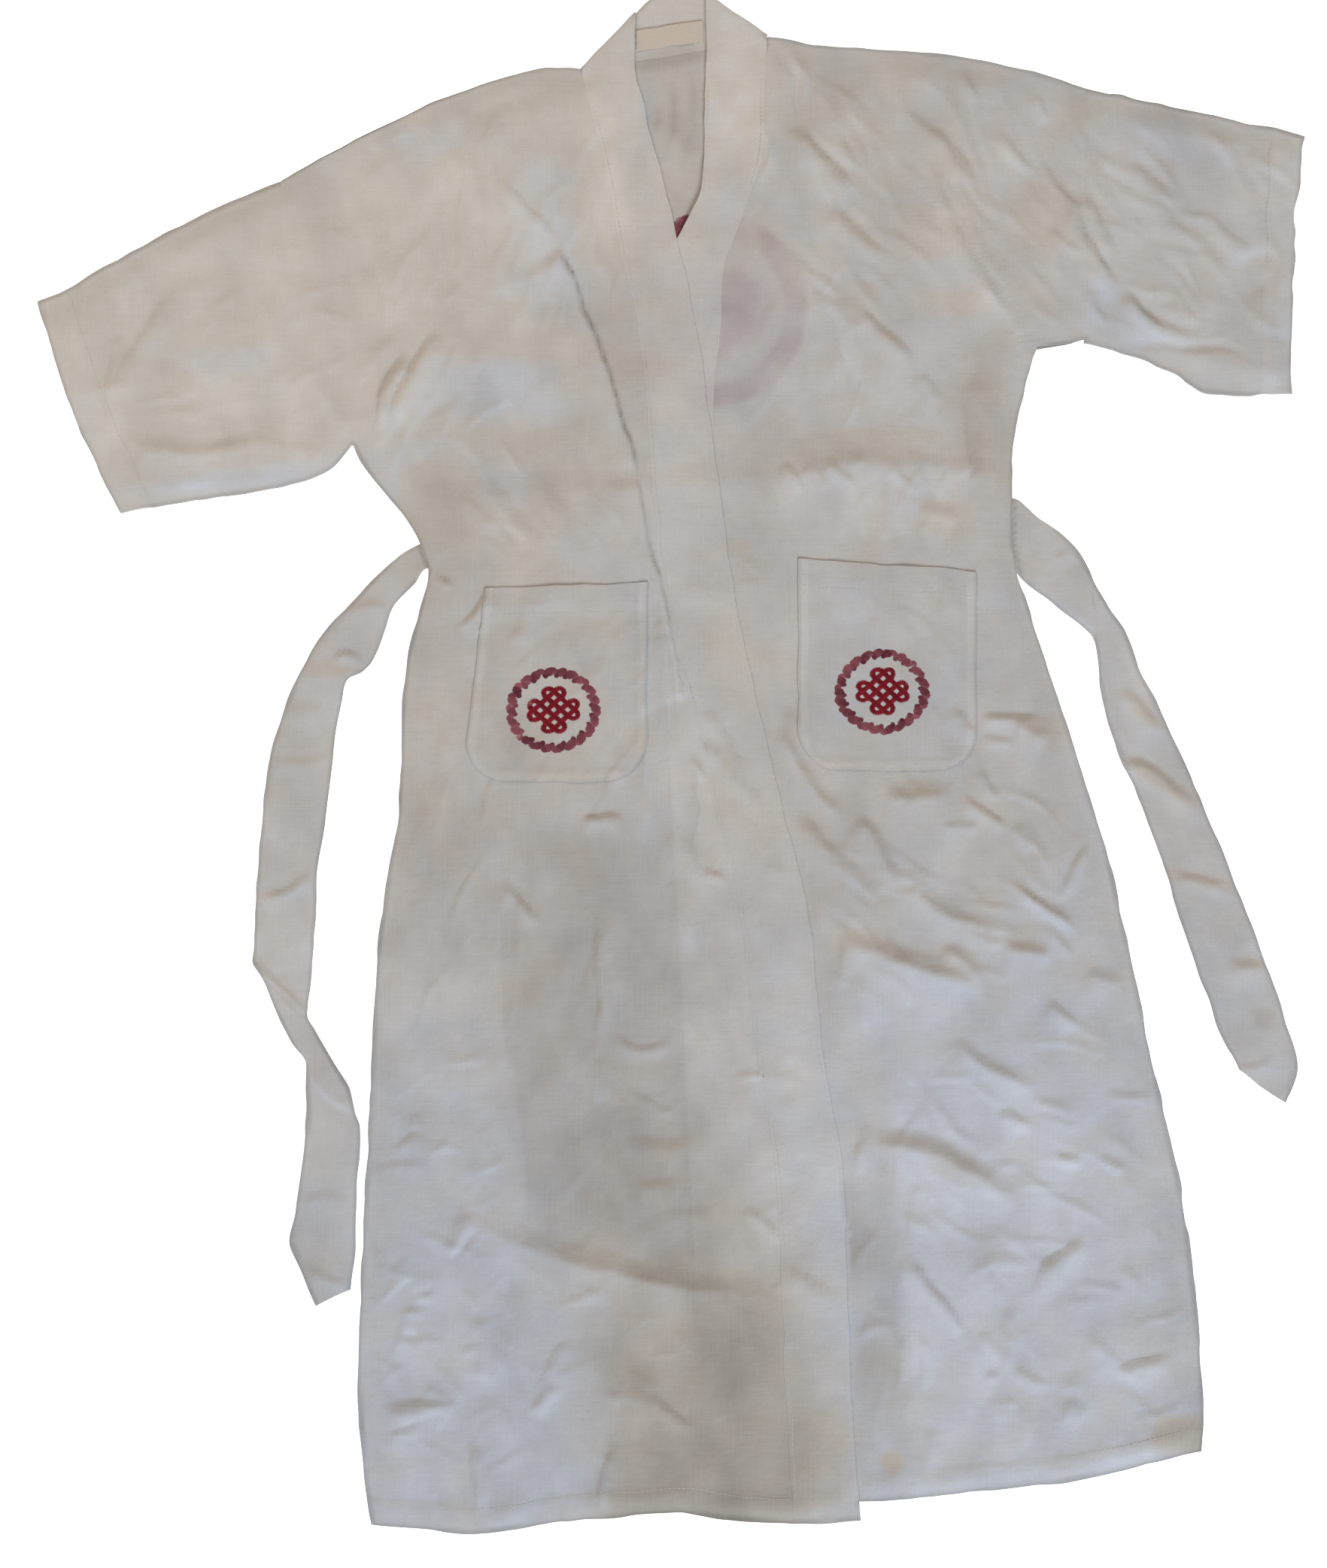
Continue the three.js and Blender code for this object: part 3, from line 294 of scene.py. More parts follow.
# Broad folds, which rise slowly from their line to a crisp crest on the same side as a roll's
WAVES = Table(FOLD, (
    (-150, -346, -62, -386, 96, -414, -17, 2.2),
    # right underarm and chest
    (-178, 492, -174, 420, -177, 352, 9, 1.4), (-136, 400, -133, 365, -132, 330, 10, 1.0),
    # right sleeve
    (-425, 268, -385, 256, -300, 272, -12, 1.7), (-430, 232, -360, 228, -290, 238, -9, 1.2),
    # left chest, fanning from the shoulder
    (231, 312, 237, 260, 242, 205, 13, 1.8),
    # over the belt
    (48, 215, 150, 250, 271, 235, -13, 0.7), (196, 208, 215, 206, 236, 196, -10, 1.4),
    # below the left pocket
    (99, 30, 112, -4, 152, -46, -10, 2.4), (152, -38, 172, -62, 192, -106, -9, 3.0),
    (170, -14, 198, -16, 228, -14, -14, 2.6), (272, 38, 292, 34, 312, 22, -12, 2.4),
    # left skirt
    (204, -82, 222, -108, 272, -122, -14, 3.2), (138, -126, 185, -146, 258, -172, -14, 3.8),
    (215, -140, 238, -152, 262, -176, -10, 2.2), (262, -140, 285, -142, 308, -146, -10, 2.4),
    (334, -160, 348, -164, 362, -162, -12, 1.6), (236, -216, 256, -238, 294, -254, -9, 2.8),
    (150, -296, 212, -299, 288, -345, -16, 4.2),
))

# Round ridges, and grooves where the height is negative
RIDGES = Table(FOLD, (
    (-300, 448, -240, 480, -178, 508, 9, -1.2), (-178, 508, -130, 525, -85, 535, 9, -0.9),
    (-160, 492, -155, 455, -150, 425, 5, 1.2), (-196, 425, -194, 390, -193, 358, 6, 1.1),
    (-283, 310, -268, 280, -252, 262, 5, 1.2), (-330, 380, -322, 345, -318, 322, 8, 0.8),
    (-318, 420, -313, 395, -300, 360, 6, 1.0), (-260, 470, -262, 440, -268, 415, 12, -1.0),
    (82, 572, 97, 548, 104, 512, 3, -1.6), (94, 572, 104, 552, 110, 530, 3, 1.2),
    (346, 329, 400, 331, 470, 325, 2.6, -1.6), (472, 415, 470, 390, 474, 365, 9, -1.4),
    (-20, 132, -21, 20, -22, -82, 6, 1.2), (-10, 130, -8, 60, -9, -50, 4, 1.0),
    (16, 120, 18, 60, 22, 0, 5, 1.0), (16, -60, 15, -110, 14, -160, 9, 1.6),
    (-158, -358, -168, -378, -177, -398, 6, 2.4), (-157, -372, -165, -385, -174, -399, 3, -1.4),
    (-208, -420, -200, -417, -192, -421, 3, 1.0), (-206, -432, -196, -428, -186, -431, 3, 1.0),
    (-214, -444, -204, -441, -196, -446, 3, 1.0), (-214, -455, -206, -459, -198, -463, 3, -1.0),
    (-170, -420, -160, -430, -158, -442, 4, 0.8), (-226, -521, -200, -520, -170, -515, 5, 1.4),
    (-88, -496, -100, -510, -112, -524, 5, 2.0), (-152, -440, -150, -470, -146, -505, 6, 1.2),
    (74, -88, 88, -89, 106, -87, 3, 1.0), (248, -452, 256, -466, 264, -480, 4, 1.2),
    (276, -428, 271, -460, 272, -505, 6, 1.8), (146, -466, 160, -453, 180, -458, 4, 1.2),
    (182, -458, 187, -482, 178, -508, 4, 1.6), (122, -150, 120, -180, 118, -205, 8, -1.4),
    (128, -216, 118, -230, 106, -246, 3, 1.2), (283, -508, 282, -530, 284, -552, 5, 1.0),
    (207, -535, 206, -550, 207, -575, 5, 1.0), (93, 100, 90, 60, 100, 30, 7, -1.4),
    (-196, 60, -192, 10, -196, -60, 9, -0.8), (-5, 545, 1, 505, 9, 462, 3.4, 2.2),
    (14, 548, 15, 510, 10, 468, 3.0, 1.8), (-14, 520, -8, 500, -3, 478, 3.0, 1.4),
    (46, -256, 75, -254, 104, -257, 2.4, 1.2), (134, 216, 136, 196, 133, 172, 4, 0.8),
    (152, 220, 151, 198, 154, 176, 4, 0.9), (171, 222, 173, 196, 170, 172, 4, 0.9),
    (189, 220, 187, 198, 190, 174, 4, 0.8), (206, 216, 207, 196, 204, 176, 4, 0.7),
))

# Lines with painted shade on the left of their run, or on the right where the reach is negative; the
# height is the change of tone beside the line
SHADES = Table(FOLD, (
    (-135, -118, -134, -200, -122, -272, 55, -0.25),
    (-124, -240, -118, -310, -115, -378, 70, -0.32), (-117, -368, -60, -402, 90, -430, 45, -0.30),
    (-52, -525, -50, -565, -50, -608, 130, -0.32), (138, -325, 141, -372, 144, -430, 16, -0.60),
    (241, 205, 236, 250, 230, 300, -30, -0.35), (-86, 408, -58, 335, -21, 222, 26, -0.25),
    (-5, 545, 1, 505, 9, 462, 6, -0.75), (15, 548, 16, 510, 12, 470, 5, -0.60),
    (-15, 522, -9, 500, -3, 476, 4, -0.55), (-9, 120, 1, 72, 5, 18, -5, -0.42),
    (-21, 128, -20, 50, -22, -50, -6, -0.34), (19, -2, 22, -40, 19, -92, -6, -0.45),
    (-58, -112, -58, -170, -57, -226, -6, -0.30),
))

# Pleat edges: a step up within the reach, then a slow fall
LIPS = Table(FOLD, (
    (-86, 408, -58, 335, -21, 222, -2.6, 3.6), (-24, 232, -12, 160, 2, 98, -2.6, 2.2),
    (1, 104, 6, 74, 13, 48, -2.4, 1.6),
))

# Where small creases gather: middle, half sizes, their usual direction and its spread in degrees
CREASED = Table("x y wide tall turn spread count length height", (
    (-350, 320, 95, 60, 15, 40, 22, 40, 0.9), (-150, 430, 90, 80, 78, 25, 22, 55, 1.0),
    (-190, 290, 50, 50, 65, 30, 12, 45, 1.2), (190, 450, 90, 75, -55, 18, 44, 66, 1.4),
    (290, 420, 60, 80, -60, 25, 24, 58, 1.3), (410, 420, 70, 75, -40, 30, 34, 54, 1.3),
    (165, 235, 80, 22, 80, 25, 16, 22, 0.9), (-110, 205, 60, 35, -50, 25, 12, 40, 1.1),
    (-10, -320, 70, 110, 5, 60, 9, 40, 1.0), (-180, -470, 60, 90, 0, 70, 26, 34, 1.2),
    (-190, -320, 45, 90, 50, 60, 16, 36, 1.0), (-130, -110, 70, 90, 82, 20, 16, 70, 1.2),
    (-60, -480, 70, 80, -30, 60, 18, 34, 1.0), (-90, 40, 60, 90, 80, 40, 12, 34, 0.7),
    (170, 60, 60, 80, -60, 40, 12, 34, 0.8), (220, -110, 90, 70, -28, 25, 26, 46, 1.4),
    (280, -280, 90, 90, -28, 30, 28, 46, 1.3), (310, -450, 80, 80, -35, 60, 30, 38, 1.3),
    (170, -400, 30, 130, 80, 30, 14, 46, 1.1), (90, -250, 30, 280, 20, 60, 22, 26, 0.7),
    (40, 120, 30, 110, -45, 45, 14, 28, 0.8), (-40, 470, 22, 80, 85, 20, 14, 46, 1.2),
    (52, 490, 20, 60, 85, 20, 14, 46, 1.2), (-90, 60, 70, 70, 70, 40, 18, 36, 1.0),
    (172, 70, 66, 72, -60, 40, 18, 36, 1.0), (-120, 330, 70, 110, 75, 25, 24, 50, 1.0),
    (-110, 470, 70, 60, 75, 20, 14, 50, 1.1), (110, 350, 40, 110, 80, 30, 16, 40, 1.0),
    (-60, -180, 90, 130, 85, 12, 18, 60, 0.9),
))


def ramp(start: float, end: float, value: Array) -> Array:
    """Smooth step from 0 at one place to 1 at the other, which may come in either order."""
    t = np.clip((value - start) / (end - start), 0, 1)
    return t * t * (3 - 2 * t)


def blend(a: Array | float, b: Array | float, t: Array | float) -> Array:
    """Straight mix of two values."""
    return a + (b - a) * t


def distances(line: Array) -> Array:
    """How far each point of a line lies from its start, along it."""
    return np.concatenate([[0], np.cumsum(np.linalg.norm(np.diff(line, axis=0), axis=1))])


# Shape of the cloth


class FoldKind(Enum):
    """How a fold's height runs across its line."""

    ROLL = "roll"
    WAVE = "wave"
    SHADE = "shade"
    RIDGE = "ridge"
    LIP = "lip"


@lru_cache(maxsize=16)
def random_lattice(seed: int) -> Array:
    """Random numbers from -1 to 1, kept so that a ripple needn't draw them anew at each call."""
    return np.random.default_rng(seed).uniform(-1, 1, LATTICE)


@dataclass(frozen=True)
class Ripple:
    """Soft random unevenness of one size."""

    seed: int
    size_x: float
    size_y: float
    height: float
    turn: float = 0.0

    def at(self, x: Array, y: Array) -> Array:
        """Height at each place.

        Args:
            x: places along X.
            y: places along Y.

        Returns:
            Values between plus and minus the ripple's height.
        """
        c, s = math.cos(self.turn), math.sin(self.turn)
        u = (x * c + y * s) / self.size_x + LATTICE_SHIFT
        v = (y * c - x * s) / self.size_y + LATTICE_SHIFT
        lattice = random_lattice(self.seed)
        i, j = np.floor(u).astype(int), np.floor(v).astype(int)
        fu, fv = u - i, v - j
        fu, fv = fu * fu * (3 - 2 * fu), fv * fv * (3 - 2 * fv)
        i, after_i = i % LATTICE[0], (i + 1) % LATTICE[0]
        j, after_j = j % LATTICE[1], (j + 1) % LATTICE[1]
        low = blend(lattice[i, j], lattice[after_i, j], fu)
        high = blend(lattice[i, after_j], lattice[after_i, after_j], fu)
        return self.height * blend(low, high, fv)


# How far folds stray from their smooth lines, along X and along Y
SWAYS = (
    (Ripple(41, 21, 21, 2.2), Ripple(43, 8, 8, 0.6)),
    (Ripple(45, 21, 21, 2.2), Ripple(47, 8, 8, 0.6)),
)


@dataclass(frozen=True)
class Folds:
    """All folds of one kind."""

    table: Table
    kind: FoldKind
    parts: int = 8  # straight parts that a fold's line is made of
    end_share: float = 0.3  # share of the line in which a fold dies out, at each end
    line_gain: float = 1.0  # how dark the painted shade along its line is
    full_depth: float = 3.0  # height from which the painted shade along its line is at its darkest

    def profile(self, side: Array) -> Array:
        """Height across a fold's line, as a share of its full height.

        Args:
            side: distance from the line in reaches, positive towards the crest.

        Returns:
            The share of the height.
        """
        rise = np.clip(side, 0, None)
        if self.kind is FoldKind.ROLL:
            return rise**2 * np.exp(2 * (1 - rise))
        if self.kind is FoldKind.WAVE:
            return np.where(rise < 1, np.clip(rise, 0, 1) ** 1.6, np.exp((1 - rise) / 1.3))
        if self.kind is FoldKind.SHADE:
            return ramp(-0.03, 0.03, side) * np.exp(-rise)
        if self.kind is FoldKind.LIP:
            return (1 - np.exp(-2 * rise)) * np.exp(-rise / 9)
        return np.exp(-side * side)

    def height(self, x: Array, y: Array) -> Array:
        """Sum of the folds' heights at each place."""
        return self.read(x, y)[0]

    def read(self, x: Array, y: Array) -> tuple[Array, Array, Array]:
        """Heights, and the nearest fold's line.

        Args:
            x: places along X.
            y: places along Y.

        Returns:
            The summed height, the distance to the nearest line, and how deep that line is.
        """
        total, depth = np.zeros(np.shape(x)), np.zeros(np.shape(x))
        nearest = np.full(np.shape(x), FAR)
        sway = [sum(ripple.at(x, y) for ripple in pair) for pair in SWAYS]
        x, y = x + sway[0], y + sway[1]
        reaches = 24 if self.kind is FoldKind.LIP else 7  # how far from its line a fold has height
        for x1, y1, x2, y2, x3, y3, reach, tall in self.table.rows:
            margin = abs(reach) * reaches
            near = (x > min(x1, x2, x3) - margin) & (x < max(x1, x2, x3) + margin)
            near &= (y > min(y1, y2, y3) - margin) & (y < max(y1, y2, y3) + margin)
            if not near.any():
                continue
            px, py = x[near], y[near]
            t = np.linspace(0, 1, self.parts + 1)
            cx, cy = 2 * x2 - (x1 + x3) / 2, 2 * y2 - (y1 + y3) / 2
            line_x = (1 - t) ** 2 * x1 + 2 * t * (1 - t) * cx + t * t * x3
            line_y = (1 - t) ** 2 * y1 + 2 * t * (1 - t) * cy + t * t * y3
            best = np.full(px.shape, np.inf)
            offset = np.zeros(px.shape)
            along = np.zeros(px.shape)
            for i in range(self.parts):
                dx, dy = line_x[i + 1] - line_x[i], line_y[i + 1] - line_y[i]
                span = dx * dx + dy * dy
                s = np.clip(((px - line_x[i]) * dx + (py - line_y[i]) * dy) / span, 0, 1)
                gx, gy = px - line_x[i] - s * dx, py - line_y[i] - s * dy
                gap = np.hypot(gx, gy)
                closer = gap < best
                left = np.sign(dx * gy - dy * gx)
                best = np.where(closer, gap, best)
                offset = np.where(closer, gap * left, offset)
                along = np.where(closer, (i + s) / self.parts, along)
            end = self.end_share
            fade = ramp(0, end, along) * ramp(1, 1 - end, along)
            total[near] += tall * fade * self.profile(offset * np.sign(reach) / abs(reach))
            closer = best < nearest[near]
            nearest[near] = np.where(closer, best, nearest[near])
            deep = self.line_gain * fade * min(abs(tall) / self.full_depth, 1)
            depth[near] = np.where(closer, deep, depth[near])
        return total, nearest, depth


def scattered(clusters: Table, seed: int = 17) -> Table:
    """Small creases, spread at random where the table gathers them.

    Args:
        clusters: where they gather.
        seed: start of the random numbers.

    Returns:
        One fold in each row.
    """
    random = np.random.default_rng(seed)
    rows = []
    for x, y, wide, tall, turn, spread, count, length, height in clusters.rows:
        for _ in range(int(count)):
            cx, cy = x + wide * random.uniform(-1, 1), y + tall * random.uniform(-1, 1)
            angle = math.radians(turn + spread * random.uniform(-1, 1))
            half = length * random.uniform(0.35, 1.0)
            dx, dy = half * math.cos(angle), half * math.sin(angle)
            bend = random.uniform(-0.3, 0.3)
            middle = (cx - dy * bend, cy + dx * bend)
            reach = random.uniform(2.6, 5.0) * random.choice([-1, 1])
            rise = height * random.uniform(0.25, 0.8)
            rows.append((cx - dx, cy - dy, *middle, cx + dx, cy + dy, reach, rise))
    return Table(FOLD, tuple(rows))


@dataclass(frozen=True)
class Outline:
    """Edges of the robe, as lines that folds die out towards."""

    right_underarm: float = 254.0  # Y at which each side seam ends
    left_underarm: float = 335.0
    band_edge: float = 151.0  # X from which the left front's hem shows
    belt_hidden: tuple[float, float] = (-205.0, 300.0)  # X between which the belt is hidden

    def sewn(self) -> list[Array]:
        """Side seams, folded sleeve edges and shoulders.

        Returns:
            Lines of points.
        """
        right, left = RIGHT_SIDE.points(), LEFT_SIDE.points()
        sides = [right[right[:, 1] < self.right_underarm], left[left[:, 1] < self.left_underarm]]
        sleeves = (RIGHT_SLEEVE_TOP, RIGHT_SLEEVE_FOOT, LEFT_SLEEVE_TOP, LEFT_SLEEVE_FOOT)
        return sides + [table.points() for table in (*sleeves, RIGHT_SHOULDER, LEFT_SHOULDER)]

    def loose(self) -> list[Array]:
        """Hem and cuffs.

        Returns:
            Lines of points.
        """
        hem = LEFT_HEM.points()
        shown = hem[hem[:, 0] > self.band_edge]
        return [RIGHT_HEM.points(), shown, RIGHT_CUFF.points(), LEFT_CUFF.points()]

    def rims(self) -> list[Array]:
        """Every outer edge that shows, with the fold at the neck and the belt's tails.

        Returns:
            Lines of points.
        """
        neck, belt = NECK_BAND.points()[:, 2:], BELT.points()
        tails = [belt[belt[:, 0] < self.belt_hidden[0]], belt[belt[:, 0] > self.belt_hidden[1]]]
        edges = [tail[:, c : c + 2] for tail in tails for c in (0, 2)]
        return [*self.sewn(), *self.loose(), neck, *edges]

    def turned(self, x: Array, y: Array, outside: float, inside: float) -> Array:
        """Where the hems and cuffs are turned in, from 0 to 1.

        Args:
            x: places along X.
            y: places along Y.
            outside: how far past the stitching it fades out.
            inside: how far before the stitching it starts to fade.

        Returns:
            The share at each place.
        """
        loose = self.loose()
        hem = ramp(HEM + outside, HEM - inside, self.gap(loose[:2], x, y))
        cuff = ramp(CUFF + outside, CUFF - inside, self.gap(loose[2:], x, y))
        return np.maximum(hem, cuff)

    @staticmethod
    def gap(lines: Sequence[Array], x: Array, y: Array) -> Array:
        """Distance to the nearest of some lines.

        Args:
            lines: lines of points.
            x: places along X.
            y: places along Y.

        Returns:
            The distance from each place.
        """
        best = np.full(np.shape(x), 1e6)
        for line in lines:
            for (ax, ay), (bx, by) in zip(line[:-1], line[1:]):
                dx, dy = bx - ax, by - ay
                s = np.clip(((x - ax) * dx + (y - ay) * dy) / (dx * dx + dy * dy), 0, 1)
                best = np.minimum(best, np.hypot(x - ax - s * dx, y - ay - s * dy))
        return best


class Drape:
    """Heights of every layer of the robe over the floor."""

    edge_fade = 24.0  # distance from a seam within which folds die out
    loose_fade = 14.0  # the same from a hem or a cuff
    loose_share = 0.35  # how free the hem or cuff itself stays
    gain = 1.15  # factor on the heights of the folds
    wave_gain = 1.5  # factor on the heights of the broad folds
    flat_below = 0.5  # height under which the cloth flattens out
    air = 0.1  # least room between a layer and the back
    cover = (1.0, 16.0)  # distance past the upper band over which the left front comes free
    belt_reach = (40.0, 62.0)  # distance from the belt's middle over which its lift fades
    belt_thickness = 1.1

    def __init__(self) -> None:
        """Gathers the folds and ripples."""
        self.outline = Outline()
        self.folds = (
            Folds(ROLLS, FoldKind.ROLL),
            Folds(RIDGES, FoldKind.RIDGE),
            Folds(LIPS, FoldKind.LIP, parts=14, end_share=0.1, line_gain=2.4),
            Folds(scattered(CREASED), FoldKind.ROLL, parts=4, end_share=0.45, line_gain=0.7),
        )
        self.waves = Folds(WAVES, FoldKind.WAVE)
        self.ripples = (
            Ripple(3, 95, 120, 1.3),
            Ripple(11, 44, 60, 1.0, 0.3),
            Ripple(23, 22, 30, 0.6, -0.5),
            Ripple(31, 11, 30, 0.2, 0.1),
        )

    def free(self, x: Array, y: Array) -> Array:
        """How free the cloth is to fold, from 0 at a seam to 1."""
        sewn = ramp(0, self.edge_fade, self.outline.gap(self.outline.sewn(), x, y))
        loose = ramp(0, self.loose_fade, self.outline.gap(self.outline.loose(), x, y))
        return sewn * blend(self.loose_share, 1, loose)

    def laid(self, free: Array) -> Array:
        """Height of an even layer over the back, by how free it is."""
        return CLOTH + self.air + LAYER * free

    def relief(self, x: Array, y: Array) -> Array:
        """Height of folds and ripples, never below the cloth under them."""
        raw = self.gain * sum(f.height(x, y) for f in self.folds)
        raw = raw + self.wave_gain * self.waves.height(x, y)
        raw = LOFT + raw + sum(r.at(x, y) for r in self.ripples)
        low = self.flat_below
        raw = np.where(raw > low, raw, low * np.exp(np.minimum(raw - low, 0) / low))
        return CREST * np.tanh(raw / CREST)

    def lines(self, x: Array, y: Array) -> tuple[Array, Array]:
        """The nearest crisp crease.

        Args:
            x: places along X.
            y: places along Y.

        Returns:
            Its distance and how deep it is.
        """
        gap, depth = np.full(np.shape(x), FAR), np.zeros(np.shape(x))
        for folds in self.folds:
            if folds.kind is FoldKind.RIDGE:
                continue
            _, here, deep = folds.read(x, y)
            closer = here < gap
            gap, depth = np.where(closer, here, gap), np.where(closer, deep, depth)
        return gap, depth

    def hem_step(self, x: Array, y: Array) -> Array:
        """Extra height of turned hems and cuffs."""
        return HEM_STEP * self.outline.turned(x, y, 1, 2)

    def belt_lift(self, x: Array, y: Array) -> Array:
        """How far the hidden belt lifts what lies over it."""
        away = np.abs(y - BELT_MIDDLE.read("x", "y", x))
        inside = ramp(-212, -190, x) * ramp(292, 262, x)
        return self.belt_thickness * (1 - ramp(*self.belt_reach, away)) * inside

    def back(self, x: Array, y: Array) -> Array:
        """Lower face of the back."""
        wrinkle = ramp(455, 480, y) * ramp(80, 40, np.abs(x))
        own = Folds(RIDGES, FoldKind.RIDGE).height(x, y)
        return self.belt_lift(x, y) * 0.9 + np.clip(own, 0, None) * wrinkle

    def back_top(self, x: Array, y: Array) -> Array:
        """Upper face of the back."""
        return self.back(x, y) + CLOTH

    def under(self, x: Array, y: Array) -> Array:
        """Lower face of the left front and its band."""
        bare = x - OVER_BAND.read("free_y", "free_x", y)
        free = self.free(x, y)
        own = free * ramp(*self.cover, bare)
        high = ramp(395, 450, y)
        own = np.maximum(own, free * high * ramp(-10, 30, bare))
        low = self.laid(free) + self.belt_lift(x, y)
        return low + self.relief(x, y) * own + self.hem_step(x, y) * ramp(0, 20, bare)

    def over(self, x: Array, y: Array) -> Array:
        """Lower face of the right front and its band."""
        past_free = x - UNDER_BAND.read("free_y", "free_x", y)
        past_sewn = x - UNDER_BAND.read("sewn_y", "sewn_x", y)
        below = blend(BAND_CLOTH + SEAM_STEP + 0.05, CLOTH + 0.02, ramp(-2, 4, past_sewn))
        climb = ramp(-7, 0, past_free) * below
        edge = OVER_BAND.read("free_y", "free_x", y) - x
        free = self.free(x, y)
        low = self.laid(free) + self.belt_lift(x, y) + climb
        settled = blend(0.05, 1, ramp(0, 34, edge))
        return low + self.relief(x, y) * free * settled + self.hem_step(x, y)

    def sleeve(self, x: Array, y: Array) -> Array:
        """Lower face of a sleeve's upper side."""
        free = self.free(x, y)
        return self.laid(free) + self.relief(x, y) * free + self.hem_step(x, y)


# Colour over the cloth

# Worn areas, and painted shade and shadow: middle, half sizes, turn in degrees, lightness and warmth
PATCHES = Table("x y wide tall turn tone warmth", (
    (-142, 296, 54, 26, 0, 0.05, -1.5), (-102, 425, 30, 50, 0, 0.05, -1.2),
    (-200, 492, 46, 18, 28, 0.00, -0.9), (-360, 318, 40, 12, 0, 0.00, -0.6),
    (-122, 332, 68, 14, -5, -0.05, 0.8), (-140, 200, 26, 40, -25, 0.05, -0.9),
    (-75, 180, 26, 26, 0, 0.05, -0.6), (214, 420, 30, 20, 0, 0.00, 0.7),
    (225, 365, 32, 12, 0, 0.00, 0.7), (298, 433, 22, 30, 0, -0.03, 0.7),
    (390, 497, 54, 20, -8, 0.03, -0.8), (350, 360, 24, 24, 0, 0.03, -0.5),
    (-330, 226, 80, 8, 6, 0.12, -0.9), (-350, 320, 170, 110, 20, 0.32, 0.55),
    (-150, 450, 120, 90, 20, 0.16, 0.45), (-120, 250, 90, 90, 0, -0.05, 0.35),
    (-130, 60, 90, 150, 0, -0.06, 0.35), (-120, -100, 110, 90, 0, -0.26, 0.25),
    (-35, -225, 95, 150, 0, -0.45, 0.25), (10, -380, 90, 60, -12, -0.30, 0.60),
    (22, -526, 84, 98, 0, -0.84, 1.50), (60, -455, 34, 46, 0, -0.12, 0.5),
    (120, -468, 26, 44, 0, 0.22, -0.40), (120, -560, 26, 40, 0, -0.22, 1.00),
    (28, -600, 78, 18, 0, -0.40, 0.90), (-180, -430, 80, 190, 0, 0.05, -0.85),
    (-90, -540, 60, 70, 0, 0.05, -0.60), (120, -470, 24, 80, 0, -0.45, 0.75),
    (60, 40, 40, 180, 0, -0.05, 0.35), (50, 510, 34, 60, 0, 0.42, 0.30),
    (3, 500, 18, 62, 0, 0.10, 0.50), (-50, 490, 26, 90, 0, 0.34, 0.30),
    (190, 470, 150, 90, 0, -0.12, 0.05), (160, 210, 80, 24, 0, 0.28, -0.35),
    (170, 252, 85, 13, 0, -0.22, 0.70), (250, 260, 26, 90, 0, -0.25, 0.45),
    (260, -380, 150, 220, 0, 0.38, -0.80), (200, -155, 60, 14, -16, -0.20, 0.60),
    (225, -322, 62, 12, -18, -0.18, 0.60), (404, -537, 19, 14, 0, -0.75, 3.2),
    (177, -560, 9, 9, 38, -0.36, 2.0), (300, 22, 24, 14, -10, -0.12, 0.80),
    (400, 420, 90, 80, 0, -0.02, 0.05), (190, -28, 50, 18, -10, -0.06, 0.30),
    (-380, 262, 70, 14, 5, -0.05, 0.95), (-160, 190, 60, 30, -20, -0.08, 0.60),
    (-108, 425, 60, 30, 0, 0.02, 0.60), (52, 170, 9, 7, 0, -0.10, 0.9),
    (166, -435, 20, 95, 2, -0.50, 0.60), (170, -492, 24, 26, 0, -0.25, 0.50),
    (158, -290, 20, 60, 5, -0.25, 0.40), (128, -140, 20, 80, 8, -0.22, 0.30),
    (-1, 561, 32, 8, 9, -0.60, 0.45), (217, 193, 19, 13, 0, -0.12, 0.9),
    (378, 37, 15, 5, -41, -0.25, 1.2), (392, -17, 34, 6, -32, -0.40, 1.5),
    (420, -95, 28, 6, -14, -0.20, 1.0), (458, -162, 10, 6, 0, -0.20, 1.0),
    (473, -206, 9, 9, 0, -0.45, 0.5), (-272, 73, 24, 6, 0, -0.20, 1.0),
    (-311, -182, 28, 5, -45, -0.55, 0.6),
))


